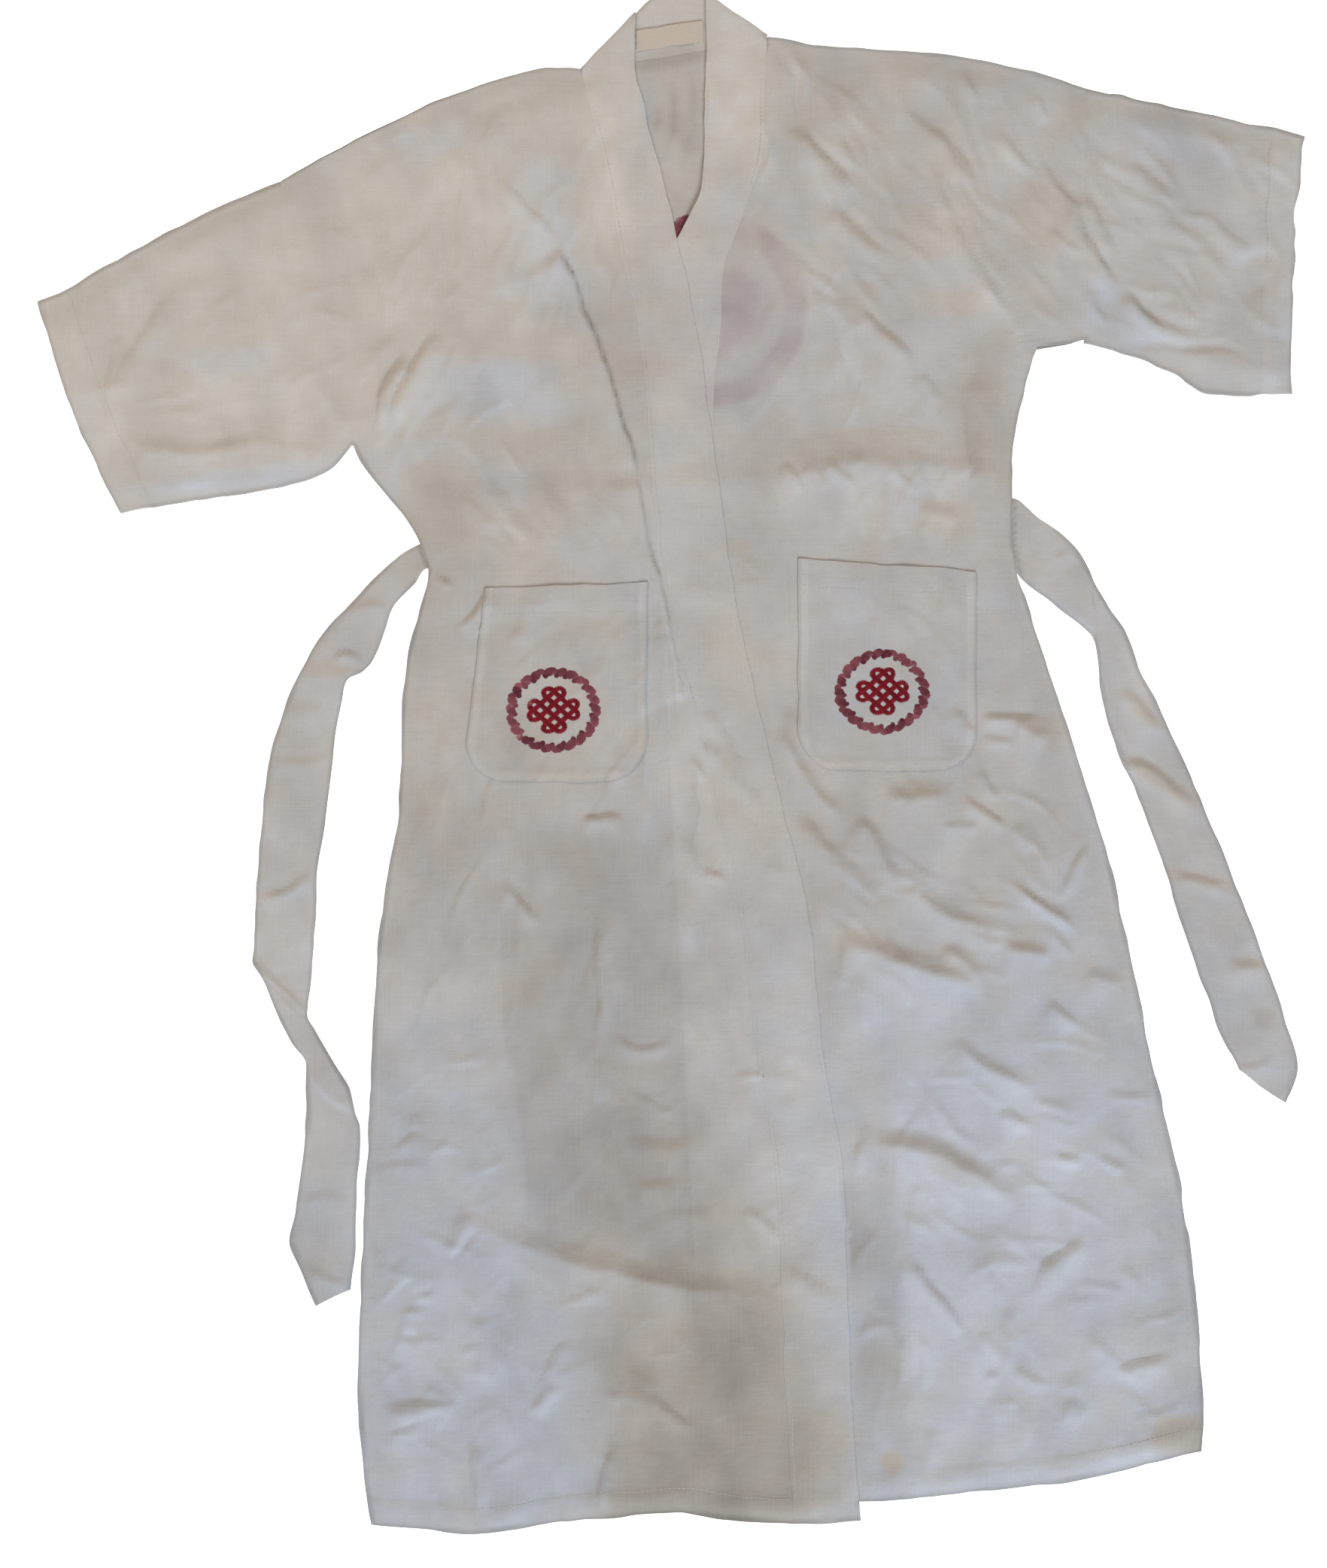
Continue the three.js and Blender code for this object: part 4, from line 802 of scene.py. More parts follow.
class Tint:
    """Lightness, warmth and ghost colour of the cloth, worked out at each point."""

    base = (0.03, 0.0003)  # lightness in the middle, and its rise to a millimetre of Y
    warmth_and_painted_lamp_tint = (0.12, -0.0004, 0.0007)  # warmth there, and its rise to a millimetre of X and Y, a painted tint that is cooler towards the window lamp and warmer towards the room lamp
    warmth_bounds = (-0.35, 0.45)  # the least and the most of that rise
    tone_ripples = (Ripple(71, 60, 80, 0.16), Ripple(73, 25, 36, 0.20), Ripple(75, 9, 34, 0.09, 0.4))
    warmth_ripples = (Ripple(77, 70, 60, 0.22), Ripple(79, 28, 28, 0.16))
    shade_warmth = -0.8  # how warm a shade is for its lightness
    painted_slope_shade = -0.45  # painted shade, darker and warmer, on a slope that faces the neck, away from the window lamp
    painted_slope_warmth = 2.0
    doubled_tone = 0.14  # lightness of turned hems and cuffs
    painted_rim_shade = -0.9  # painted shade along the outer edges
    ghost_centre = (30.0, 360.0)
    ghost_ring = (62.0, 77.0)

    def tone(self, x: Array, y: Array) -> tuple[Array, Array]:
        """Lightness and warmth.

        Args:
            x: places along X.
            y: places along Y.

        Returns:
            The two values at each place, about 0 where the cloth is even.
        """
        tone = self.base[0] + self.base[1] * y
        start, to_left, to_neck = self.warmth_and_painted_lamp_tint
        warmth = start + np.clip(x * to_left + y * to_neck, *self.warmth_bounds)
        for cx, cy, wide, tall, turn, light, warm in PATCHES.rows:
            c, s = math.cos(math.radians(turn)), math.sin(math.radians(turn))
            u = ((x - cx) * c + (y - cy) * s) / wide
            v = ((y - cy) * c - (x - cx) * s) / tall
            share = np.exp(-(u**4) - v**4)
            tone = tone + light * share
            warmth = warmth + warm * share
        shade = Folds(SHADES, FoldKind.SHADE).height(x, y)
        tone, warmth = tone + shade, warmth + self.shade_warmth * shade
        for ripple in self.tone_ripples:
            tone = tone + ripple.at(x, y)
        for ripple in self.warmth_ripples:
            warmth = warmth + ripple.at(x, y)
        return tone, warmth

    def ghost(self, x: Array, y: Array) -> Array:
        """How much of the back's embroidery shows through one layer."""
        dx, dy = x - self.ghost_centre[0], y - self.ghost_centre[1]
        r = np.hypot(dx, dy)
        ring = ramp(self.ghost_ring[0] - 5, self.ghost_ring[0] + 2, r)
        ring *= ramp(self.ghost_ring[1] + 5, self.ghost_ring[1] - 2, r)
        faded = 0.55 + Ripple(53, 16, 22, 0.45).at(x, y)
        middle = ramp(50, 30, r) * (0.4 + Ripple(54, 9, 12, 0.4).at(x, y))
        return np.clip(ring * faded + middle + 0.25 * ramp(92, 55, r), 0, 1)


TINT = Tint()


# Meshes


def unevened(points: Array) -> Array:
    """Points moved a little in plan, so that no edge or seam is quite straight.

    The left sleeve is the most rumpled.
    """
    x, y = points[:, 0], points[:, 1]
    rumpled = 1 + 1.3 * ramp(330, 400, x) * ramp(240, 290, y)
    moved = points.copy()
    moved[:, 0] += rumpled * (Ripple(91, 24, 24, 1.0).at(x, y) + Ripple(92, 10, 10, 0.4).at(x, y))
    moved[:, 1] += rumpled * (Ripple(93, 24, 24, 1.0).at(x, y) + Ripple(94, 10, 10, 0.4).at(x, y))
    return moved


def to_world(points: Array) -> Array:
    """Points of the tables as metres in the frame."""
    return (points - np.array([*CENTRE, 0.0])) / 1000


def to_tables(piece: Piece) -> Array:
    """A piece's points in the tables' millimetres."""
    co = np.empty(len(piece.data.vertices) * 3, np.float32)
    piece.data.vertices.foreach_get("co", co)
    return co.reshape(-1, 3) * 1000 + np.array([*CENTRE, 0.0], np.float32)


def grid_faces(rows: int, columns: int, start: int, flip: bool) -> Array:
    """Quads of a grid of points.

    Args:
        rows: how many rows of points.
        columns: how many points in a row.
        start: index of the first point.
        flip: whether the faces look the other way.

    Returns:
        One row of four indices for each quad.
    """
    i = np.arange((rows - 1) * columns).reshape(rows - 1, columns)[:, :-1].ravel() + start
    quads = np.stack([i, i + 1, i + columns + 1, i + columns], 1)
    return quads[:, ::-1] if flip else quads


def braced(grid: Array) -> Array:
    """A grid with one more line of points just inside each edge, so that shading stays even up to it.

    Args:
        grid: rows and columns of points.

    Returns:
        The grid with two more rows and two more columns.
    """
    for axis in (0, 1):
        lines = np.moveaxis(grid, axis, 0)
        first = blend(lines[:1], lines[1:2], 0.04)
        last = blend(lines[-1:], lines[-2:-1], 0.04)
        lines = np.concatenate([lines[:1], first, lines[1:-1], last, lines[-1:]])
        grid = np.moveaxis(lines, 0, axis)
    return grid


@dataclass
class Slab:
    """A thin closed piece between two grids of points."""

    name: str
    lower: Array
    upper: Array

    def __post_init__(self) -> None:
        """Braces the edges of both grids."""
        self.lower, self.upper = braced(self.lower), braced(self.upper)

    def faces(self) -> Array:
        """All quads, facing out.

        Returns:
            One row of four indices for each quad.
        """
        rows, columns = self.lower.shape[:2]
        count = rows * columns
        index = np.arange(count).reshape(rows, columns)
        parts = [grid_faces(rows, columns, count, False), grid_faces(rows, columns, 0, True)]
        rims = ((index[0], False), (index[-1], True), (index[:, 0], True), (index[:, -1], False))
        for line, flip in rims:
            quads = np.stack([line[:-1], line[1:], line[1:] + count, line[:-1] + count], 1)
            parts.append(quads[:, ::-1] if flip else quads)
        return np.concatenate(parts)

    def make(self) -> Piece:
        """Builds the object, in metres.

        Returns:
            The new object.
        """
        points = np.concatenate([self.lower.reshape(-1, 3), self.upper.reshape(-1, 3)])
        rows, columns = self.lower.shape[:2]
        made = make_mesh(self.name, points, self.faces(), 2 * (rows - 1) * (columns - 1))
        slope = slope_to_neck(self.upper).ravel()
        store(made, "slope", np.concatenate([slope, slope]))
        return made


def slope_to_neck(grid: Array) -> Array:
    """How far a grid's surface leans towards the neck, from -1 to 1."""
    along, across = np.gradient(grid, axis=0), np.gradient(grid, axis=1)
    normal = np.cross(across, along)
    normal *= np.sign(normal[..., 2:]) + (normal[..., 2:] == 0)
    return normal[..., 1] / np.maximum(np.linalg.norm(normal, axis=-1), 1e-9)


def make_mesh(
    name: str, points: Array, faces: Array | Sequence, smooth: int | None = None
) -> Piece:
    """A mesh object from points in the tables' millimetres.

    Args:
        name: the object's name.
        points: one row of X, Y and Z for each point.
        faces: indices of each face.
        smooth: how many faces, from the first on, are smooth; all where it isn't given.

    Returns:
        The new object, linked into the scene.
    """
    mesh = bpy.data.meshes.new(name)
    faces = [tuple(int(i) for i in f) for f in faces]
    mesh.from_pydata(to_world(unevened(points)).tolist(), [], faces)
    count = len(mesh.polygons)
    mesh.polygons.foreach_set("use_smooth", [i < (smooth or count) for i in range(count)])
    mesh.update()
    made = bpy.data.objects.new(name, mesh)
    bpy.context.scene.collection.objects.link(made)
    return made


def store(piece: Piece, name: str, values: Array) -> None:
    """Keeps one number for each point of a piece, for its material to read."""
    layers = piece.data.attributes
    layer = layers[name] if name in layers else layers.new(name, "FLOAT", "POINT")
    layer.data.foreach_set("value", np.asarray(values, np.float32).ravel())


def kept(piece: Piece, name: str) -> Array:
    """The numbers kept for a piece's points."""
    values = np.empty(len(piece.data.vertices), np.float32)
    piece.data.attributes[name].data.foreach_get("value", values)
    return values


def colour_points(
    piece: Piece, drape: Drape | None, lift: float = 0.0, ghost: float = 0.0
) -> None:
    """Stores lightness, warmth and ghost colour on a cloth piece.

    Painted shade: slopes that face the neck, away from the window lamp, are a little darker and warmer
    than those that face the hem, and the outer edges are darker.

    Args:
        piece: the cloth.
        drape: the folds that crease it, or none for a piece with folds of its own.
        lift: how much lighter the piece is than single cloth.
        ghost: how strongly the back's embroidery shows through it.
    """
    x, y, _ = to_tables(piece).T
    towards_neck = kept(piece, "slope")
    tone, warmth = TINT.tone(x, y)
    outline = Outline()
    doubled = outline.turned(x, y, 1.5, 1)
    # Painted shade along the outer edges.
    rim = ramp(3.5, 0.8, outline.gap(outline.rims(), x, y))
    # Painted shade: slopes that face the neck are darker and warmer.
    tone = tone + TINT.painted_slope_shade * towards_neck + lift
    store(piece, "tone", tone + TINT.doubled_tone * doubled + TINT.painted_rim_shade * rim)
    gap, depth = drape.lines(x, y) if drape else (np.full(len(x), FAR), np.zeros(len(x)))
    free = ramp(2, 14, outline.gap(outline.sewn(), x, y))
    store(piece, "line_gap", gap)
    store(piece, "line_depth", depth * free)
    store(piece, "warmth", warmth + TINT.painted_slope_warmth * towards_neck)
    store(piece, "ghost", ghost * TINT.ghost(x, y))


# Materials


class Signal:
    """One output socket, which takes part in arithmetic with numbers and other signals."""

    def __init__(self, kit: "Nodes", socket: bpy.types.NodeSocket) -> None:
        """Keeps the socket and the node tree that it is in."""
        self.kit = kit
        self.socket = socket

    def _math(self, operation: str, *values: "Signal | float") -> "Signal":
        """Adds a Math node."""
        inputs = dict(enumerate(values))
        return self.kit.add("ShaderNodeMath", {"operation": operation}, inputs)

    def __add__(self, other: "Signal | float") -> "Signal":
        """Sum."""
        return self._math("ADD", self, other)

    def __radd__(self, other: float) -> "Signal":
        """Sum with a number in front."""
        return self._math("ADD", other, self)

    def __sub__(self, other: "Signal | float") -> "Signal":
        """Difference."""
        return self._math("SUBTRACT", self, other)

    def __rsub__(self, other: float) -> "Signal":
        """Difference with a number in front."""
        return self._math("SUBTRACT", other, self)

    def __mul__(self, other: "Signal | float") -> "Signal":
        """Product."""
        return self._math("MULTIPLY", self, other)

    def __rmul__(self, other: float) -> "Signal":
        """Product with a number in front."""
        return self._math("MULTIPLY", other, self)

    def __rpow__(self, other: float) -> "Signal":
        """A number raised to this power."""
        return self._math("POWER", other, self)

    def clamped(self) -> "Signal":
        """The value held between 0 and 1."""
        return self._math("MINIMUM", self._math("MAXIMUM", self, 0.0), 1.0)


class Nodes:
    """The node tree of one material."""

    def __init__(self, name: str) -> None:
        """Starts a material with a Principled shader and its output."""
        self.material = bpy.data.materials.new(name)
        self.material.use_nodes = True
        self.tree = self.material.node_tree
        self.shader = next(n for n in self.tree.nodes if n.type == "BSDF_PRINCIPLED")

    def add(
        self,
        kind: str,
        settings: dict[str, object] | None = None,
        inputs: dict[str | int, object] | None = None,
        output: str | int = 0,
    ) -> Signal:
        """Adds a node, with its settings first and then its sockets.

        Args:
            kind: the node's type.
            settings: values of the node's own properties.
            inputs: values or signals of its input sockets.
            output: the output to return.

        Returns:
            That output as a signal.
        """
        node = self.tree.nodes.new(kind)
        for name, value in (settings or {}).items():
            setattr(node, name, value)
        for name, value in (inputs or {}).items():
            if isinstance(value, Signal):
                self.tree.links.new(value.socket, node.inputs[name])
            else:
                node.inputs[name].default_value = value
        return Signal(self, node.outputs[output])

    def place(self) -> Signal:
        """Places in the object's own metres."""
        return self.add("ShaderNodeTexCoord", output="Object")

    def scaled(self, vector: Signal, by: Signal | tuple[float, float, float]) -> Signal:
        """A vector or a colour times another, side by side."""
        return self.add("ShaderNodeVectorMath", {"operation": "MULTIPLY"}, {0: vector, 1: by})

    def stored(self, name: str) -> Signal:
        """A number kept on the mesh."""
        return self.add("ShaderNodeAttribute", {"attribute_name": name}, output="Fac")

    def noise(self, vector: Signal, scale: float, detail: float = 3, kind: str = "FBM") -> Signal:
        """Cloudy noise, or creased noise where its kind is ridged."""
        return self.add(
            "ShaderNodeTexNoise",
            {"noise_type": kind, "normalize": True} if kind == "FBM" else {"noise_type": kind},
            {"Vector": vector, "Scale": scale, "Detail": detail},
        )

    def mixed(self, share: Signal, a: object, b: object) -> Signal:
        """Two colours, each a signal or four numbers, mixed by a share of the second."""
        settings = {"data_type": "RGBA", "clamp_factor": True}
        return self.add("ShaderNodeMix", settings, {0: share, 6: a, 7: b}, output=2)

    def finish(
        self,
        colour: Signal,
        roughness: Signal | float,
        height: Signal,
        constants: dict[str, object],
    ) -> Material:
        """Links the shader.

        Args:
            colour: base colour.
            roughness: roughness.
            height: bump height in metres.
            constants: values of other sockets.

        Returns:
            The material.
        """
        normal = self.add(
            "ShaderNodeBump", inputs={"Strength": 1.0, "Distance": 1.0, "Height": height}
        )
        linked = {"Base Color": colour, "Roughness": roughness, "Normal": normal}
        for name, value in linked.items():
            if isinstance(value, Signal):
                self.tree.links.new(value.socket, self.shader.inputs[name])
            else:
                self.shader.inputs[name].default_value = value
        for name, value in constants.items():
            self.shader.inputs[name].default_value = value
        return self.material


Colour = tuple[float, float, float, float]


@dataclass(frozen=True)
class ClothFinish:
    """Light plain weave, a little worn and creased."""

    name: str
    cool: Colour = (0.547, 0.558, 0.610, 1)
    plain: Colour = (0.577, 0.556, 0.552, 1)
    warm: Colour = (0.602, 0.544, 0.490, 1)
    ghost: Colour = (0.310, 0.155, 0.205, 1)
    thread: float = 0.0007  # width of a thread, in metres
    thread_run: float = 55  # cells of noise to a metre along a thread
    slub: tuple[float, float] = (700, 18)  # cells to a metre across a thick thread and along it
    tone_gain: float = 0.30  # how much each of these changes the lightness
    cloud_gain: float = 0.16
    slub_gain: float = 0.08
    weave_gain: float = 0.06
    crumple: float = 0.0020  # heights of the relief, in metres
    crease_relief: float = 0.00045
    fine_crumple: float = 0.00052
    weave_relief: float = 0.00006
    slub_relief: float = 0.00003
    line_dip: float = 0.0003
    line_sharpness: float = 0.45  # what is left of a crease's line a millimetre away from it
    line_shade: float = 0.11  # how dark the painted shade along a crease's line is
    blotches: float = 1.6  # how strongly warm and cool areas differ

    def material(self) -> Material:
        """Builds the material.

        Returns:
            The material.
        """
        kit = Nodes(self.name)
        place = kit.place()
        tone, warmth = kit.stored("tone"), kit.stored("warmth")
        across = kit.noise(kit.scaled(place, (1 / self.thread, self.thread_run, 1)), 1.0, 1)
        along = kit.noise(kit.scaled(place, (self.thread_run, 1 / self.thread, 1)), 1.0, 1)
        slub_across = kit.noise(kit.scaled(place, (*self.slub, 1)), 1.0, 2)
        slub_along = kit.noise(kit.scaled(place, (*self.slub[::-1], 1)), 1.0, 2)
        soft = kit.noise(place, 26.0, 4)
        sharp = kit.noise(place, 19.0, 5, "RIDGED_MULTIFRACTAL")
        fine = kit.noise(kit.scaled(place, (1, 0.55, 1)), 120.0, 4)
        weave = across + along
        slubs = slub_across + slub_along

        blotch = 0.5 * (kit.noise(place, 11.0, 2) - 0.5) + 0.9 * (kit.noise(place, 34.0, 3) - 0.5)
        warmth = warmth + self.blotches * blotch
        colour = kit.mixed(warmth.clamped(), self.plain, self.warm)
        colour = kit.mixed((0.0 - warmth).clamped(), colour, self.cool)
        light = 1.0 + self.tone_gain * tone + self.cloud_gain * (soft - 0.5)
        light = light + self.slub_gain * (slubs - 1.0) + self.weave_gain * (weave - 1.0)
        line = self.line_sharpness ** kit.stored("line_gap") * kit.stored("line_depth")
        light = light - self.line_shade * line
        grey = kit.add("ShaderNodeCombineColor", None, {0: light, 1: light, 2: light})
        colour = kit.mixed(kit.stored("ghost").clamped(), kit.scaled(colour, grey), self.ghost)

        height = self.crumple * soft + self.crease_relief * sharp + self.fine_crumple * fine
        height = height + self.weave_relief * weave + self.slub_relief * slubs
        height = height - self.line_dip * line
        roughness = 0.78 + 0.14 * (soft - 0.5)
        constants = {"Sheen Weight": 0.18, "Sheen Roughness": 0.5, "Specular IOR Level": 0.25}
        return kit.finish(colour, roughness, height, constants)


@dataclass(frozen=True)
class ThreadFinish:
    """Twisted thread, with each stitch a little lighter or darker."""

    name: str
    dark: Colour
    light: Colour
    roughness: float = 0.55
    sheen: float = 0.06

    def material(self) -> Material:
        """Builds the material.

        Returns:
            The material.
        """
        kit = Nodes(self.name)
        place = kit.place()
        twist = kit.noise(kit.scaled(place, (1500, 1500, 800)), 1.0, 2)
        cloud = kit.noise(place, 160.0, 3)
        share = (kit.stored("shade") + 0.5 * (twist - 0.5) + 0.5 * (cloud - 0.5)).clamped()
        colour = kit.mixed(share, self.dark, self.light)
        height = 0.00008 * twist
        constants = {"Sheen Weight": self.sheen, "Specular IOR Level": 0.2}
        return kit.finish(colour, self.roughness + 0.1 * (twist - 0.5), height, constants)


@dataclass(frozen=True)
class LabelFinish:
    """Close ribbed weave of a small sewn label, bare of words."""

    name: str = "label_weave"
    ground: Colour = (0.70, 0.63, 0.54, 1)
    worn: Colour = (0.74, 0.60, 0.50, 1)

    def material(self) -> Material:
        """Builds the material.

        Returns:
            The material.
        """
        kit = Nodes(self.name)
        place = kit.place()
        ribs = kit.noise(kit.scaled(place, (90, 2600, 1)), 1.0, 1)
        cloud = kit.noise(place, 90.0, 3)
        colour = kit.mixed((cloud * 1.4 - 0.2).clamped(), self.ground, self.worn)
        colour = kit.mixed((0.35 * ribs).clamped(), colour, (0.5, 0.46, 0.4, 1))
        constants = {"Sheen Weight": 0.1, "Specular IOR Level": 0.4}
        return kit.finish(colour, 0.5 + 0.2 * (ribs - 0.5), 0.0001 * ribs, constants)


@dataclass(frozen=True)
class FloorFinish:
    """Plain pale floor."""

    name: str = "pale_floor"

    def material(self) -> Material:
        """Builds the material.

        Returns:
            The material.
        """
        kit = Nodes(self.name)
        cloud = kit.noise(kit.place(), 3.0, 2)
        colour = kit.mixed(cloud, (0.93, 0.93, 0.93, 1), (0.96, 0.96, 0.96, 1))
        constants = {"Specular IOR Level": 0.1, "Emission Strength": 0.95, "Emission Color": (1,) * 4}
        return kit.finish(colour, 0.9 + 0.02 * cloud, 0.00001 * cloud, constants)


# Pieces


def dress(
    piece: Piece,
    material: Material,
    nodes: Sequence[str] = (),
) -> None:
    """Gives a piece its material, its body and the solids that it stands for.

    Args:
        piece: the object.
        material: its finish.
        nodes: the solids that it replaces.
    """
    piece.data.materials.append(material)
    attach(piece, "root")
    if nodes:
        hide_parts(*nodes)
    log.info("%s: %d faces", piece.name, len(piece.data.polygons))


def side_table(side: Table) -> tuple[float, float]:
    """Lowest and highest Y of a side seam."""
    y = side.column("y")
    return float(y[0]), float(y[-1])


@dataclass
class Panel:
    """One full-length piece between two edges that run from the hem to the shoulder."""

    name: str
    left: Table
    right: Table
    hem: Table
    shoulder: Table
    surface: Surface
    step: float = PANEL_STEP
    reach: float = 0.16  # share of the height within which the hem's and shoulder's bows die out
    hold: int = 6  # how closely an edge's own waves keep to it
    smoothing: float = 70.0  # how far along an edge the columns inside it even it out

    def plan(self) -> tuple[Array, Array]:
        """Plan points, in rows that run along X from the hem up.

        Returns:
            X and Y of each point.
        """
        (a0, a1), (b0, b1) = side_table(self.left), side_table(self.right)
        ends = [float(t.column("x")[i]) for t in (self.left, self.right) for i in (0, -1)]
        rows = int(math.ceil((b1 - b0) / self.step)) + 1
        columns = int(math.ceil((ends[2] - ends[0]) / self.step)) + 1
        v = np.linspace(0, 1, rows)[:, None]
        u = np.linspace(0, 1, columns)[None, :]
        ay, by = blend(a0, a1, v), blend(b0, b1, v)
        ax, bx = self.left.read("y", "x", ay), self.right.read("y", "x", by)
        near = np.linspace(-1, 1, 11)[None, :] * self.smoothing
        even_a = self.left.read("y", "x", np.clip(ay + near, a0, a1)).mean(axis=1, keepdims=True)
        even_b = self.right.read("y", "x", np.clip(by + near, b0, b1)).mean(axis=1, keepdims=True)
        edges = (ax - even_a) * (1 - u) ** self.hold + (bx - even_b) * u**self.hold
        low = self.hem.read("x", "y", blend(ends[0], ends[2], u)) - blend(a0, b0, u)
        high = self.shoulder.read("x", "y", blend(ends[1], ends[3], u)) - blend(a1, b1, u)
        bow = low * ramp(self.reach, 0, v) + high * ramp(1 - self.reach, 1, v)
        return blend(even_a, even_b, u) + edges, blend(ay, by, u) + bow

    def build(self) -> Piece:
        """Makes the cloth.

        Returns:
            The new object.
        """
        x, y = self.plan()
        z = self.surface(x, y)
        lower = np.stack([x, y, z], 2)
        upper = np.stack([x, y, z + CLOTH], 2)
        return Slab(self.name, lower, upper).make()


class Body:
    """The back and the two fronts."""

    tuck = 2.0  # how far a front runs under the neckband's sewn edge
    seen_band = 0.22  # how much lighter the right front is over the hidden band
    back_lift = -0.40  # how light the back is, which only shows inside the neck
    left_ghost, right_ghost = 0.34, 0.04  # how much each front shows of the back's embroidery

    def __init__(self, drape: Drape) -> None:
        """Keeps the heights."""
        self.drape = drape

    def beside_band(self, band: Table, shift: float, top: tuple[float, float]) -> Table:
        """A front's edge beside the neckband, by rising Y.

        Args:
            band: crossing lines of the neckband.
            shift: how far the edge lies from the band's, along X.
            top: the front's inner corner at the shoulder.

        Returns:
            The edge.
        """
        rows = sorted(zip(band.column("sewn_x"), band.column("sewn_y")), key=lambda r: r[1])
        kept = tuple((x + shift, y) for x, y in rows if y < top[1] - 6)
        return Table("x y", (*kept, top))

    def show_through(self, right: Piece) -> None:
        """Lightens the right front where the left front's band lies under it.

        Args:
            right: the right front.
        """
        x, y, _ = to_tables(right).T
        inside = ramp(-1, 1, x - UNDER_BAND.read("free_y", "free_x", y))
        inside *= ramp(260, 120, y) * ramp(-480, -380, y)
        store(right, "tone", kept(right, "tone") + self.seen_band * inside)

    def build(self, finish: Material) -> None:
        """Makes the three pieces.

        Args:
            finish: the cloth.
        """
        right_edge = self.beside_band(OVER_BAND, self.tuck, RIGHT_SHOULDER.rows[-1])
        left_edge = self.beside_band(UNDER_BAND, -self.tuck, LEFT_SHOULDER.rows[0])
        neck = tuple((x, y + 1.5 * self.tuck) for x, y in NECKLINE.rows[1:-1])
        top = Table("x y", (*RIGHT_SHOULDER.rows, *neck, *LEFT_SHOULDER.rows))
        back_left = Table("x y", (BACK_HEM.rows[0],) + RIGHT_SIDE.rows[1:])
        back_right = Table("x y", (BACK_HEM.rows[-1],) + LEFT_SIDE.rows[1:])
        d = self.drape
        edges = back_left, back_right, BACK_HEM, top
        back = Panel("back_cloth", *edges, d.back, BACK_STEP).build()
        edges = left_edge, LEFT_SIDE, LEFT_HEM, LEFT_SHOULDER
        left = Panel("left_front_cloth", *edges, d.under).build()
        edges = RIGHT_SIDE, right_edge, RIGHT_HEM, RIGHT_SHOULDER
        right = Panel("right_front_cloth", *edges, d.over).build()
        colour_points(back, None, lift=self.back_lift)
        colour_points(left, d, ghost=self.left_ghost)
        colour_points(right, d, ghost=self.right_ghost)
        self.show_through(right)
        dress(back, finish, ["back_panel"])
        dress(left, finish, ["front_left"])
        dress(right, finish, ["front_right"])


@dataclass
class Sleeve:
    """A short wide sleeve, pressed flat, open at both ends."""

    name: str
    top: Table
    foot: Table
    cuff_bow: float  # how far the middle of the cuff bows out
    cuff_low_x: bool  # whether the cuff is at the sleeve's low X
    stations: int = 60  # rings along the sleeve
    parts: int = 60  # points across its upper side
    lip: float = 1.2  # distance from a folded edge to the first of them
    tuck: float = 3.0  # how far the sleeve runs under the body
    sink: float = 0.15  # how far it lies below the body's cloth

    def ring(self, s: float, inset: float, drape: Drape) -> Array:
        """One ring round the sleeve, along the upper side and back along the floor.

        Args:
            s: place between the ends, 0 at low X.
            inset: how far inside the cloth.
            drape: the heights.

        Returns:
            One row of X, Y and Z for each point.
        """
        body_end = -1 if self.cuff_low_x else 0
        ends = []
        for table in (self.foot, self.top):
            x = table.column("x")
            x[body_end] += self.tuck if self.cuff_low_x else -self.tuck
            place = blend(float(x[0]), float(x[-1]), s)
            ends.append(np.array([place, float(table.read("x", "y", place))]))
        low, high = ends
        width = float(np.linalg.norm(high - low))
        towards = 1 - s if self.cuff_low_x else s
        bow = self.cuff_bow * float(ramp(0, 1, np.array(towards)))
        turn = (inset + self.lip) / width
        f = blend(turn, 1 - turn, np.linspace(0, 1, self.parts + 1))
        folds = np.array([inset / width, 1 - inset / width])

        def plan(share: Array) -> tuple[Array, Array]:
            """Places at shares of the ring's width."""
            x = blend(low[0], high[0], share) + bow * 4 * share * (1 - share)
            return x, blend(low[1], high[1], share)

        x, y = plan(f)
        z = drape.sleeve(x, y) - self.sink + (0 if inset else CLOTH)
        upper = np.stack([x, y, z], 1)
        lower = np.stack([x, y, np.full_like(x, inset)], 1)[::-1]
        ex, ey = plan(folds)
        rim = np.stack([ex, ey, np.full_like(ex, CLOTH + 0.05)], 1)
        return np.concatenate([rim[:1], upper, rim[1:], lower])

    def build(self, drape: Drape) -> Piece:
        """Makes the sleeve.

        Args:
            drape: the heights.

        Returns:
            The new object.
        """
        near = 0.0008
        inner_steps = np.linspace(0, 1, self.stations)[1:-1]
        steps = np.concatenate([[0, near], inner_steps, [1 - near, 1]])
        count = len(steps)
        outer = np.stack([self.ring(s, 0.0, drape) for s in steps])
        inner = np.stack([self.ring(s, CLOTH, drape) for s in steps])
        around = outer.shape[1]
        points_each = count * around
        k = np.arange(around)
        after = (k + 1) % around
        quads = []
        for i in range(count - 1):
            a, b = i * around, (i + 1) * around
            quads.append(np.stack([a + k, b + k, b + after, a + after], 1))
            quads.append(np.stack([a + k, a + after, b + after, b + k], 1) + points_each)
        quads.append(np.stack([k, after, after + points_each, k + points_each], 1))
        end = (count - 1) * around
        deep = end + points_each
        quads.append(np.stack([end + k, deep + k, deep + after, end + after], 1))
        points = np.concatenate([outer.reshape(-1, 3), inner.reshape(-1, 3)])
        smooth = 2 * (count - 1) * around
        made = make_mesh(self.name, points, np.concatenate(quads), smooth)
        upper = slice(2, self.parts)
        slope = np.zeros(outer.shape[:2])
        slope[:, upper] = slope_to_neck(outer[:, upper])
        store(made, "slope", np.concatenate([slope.ravel(), slope.ravel()]))
        return made


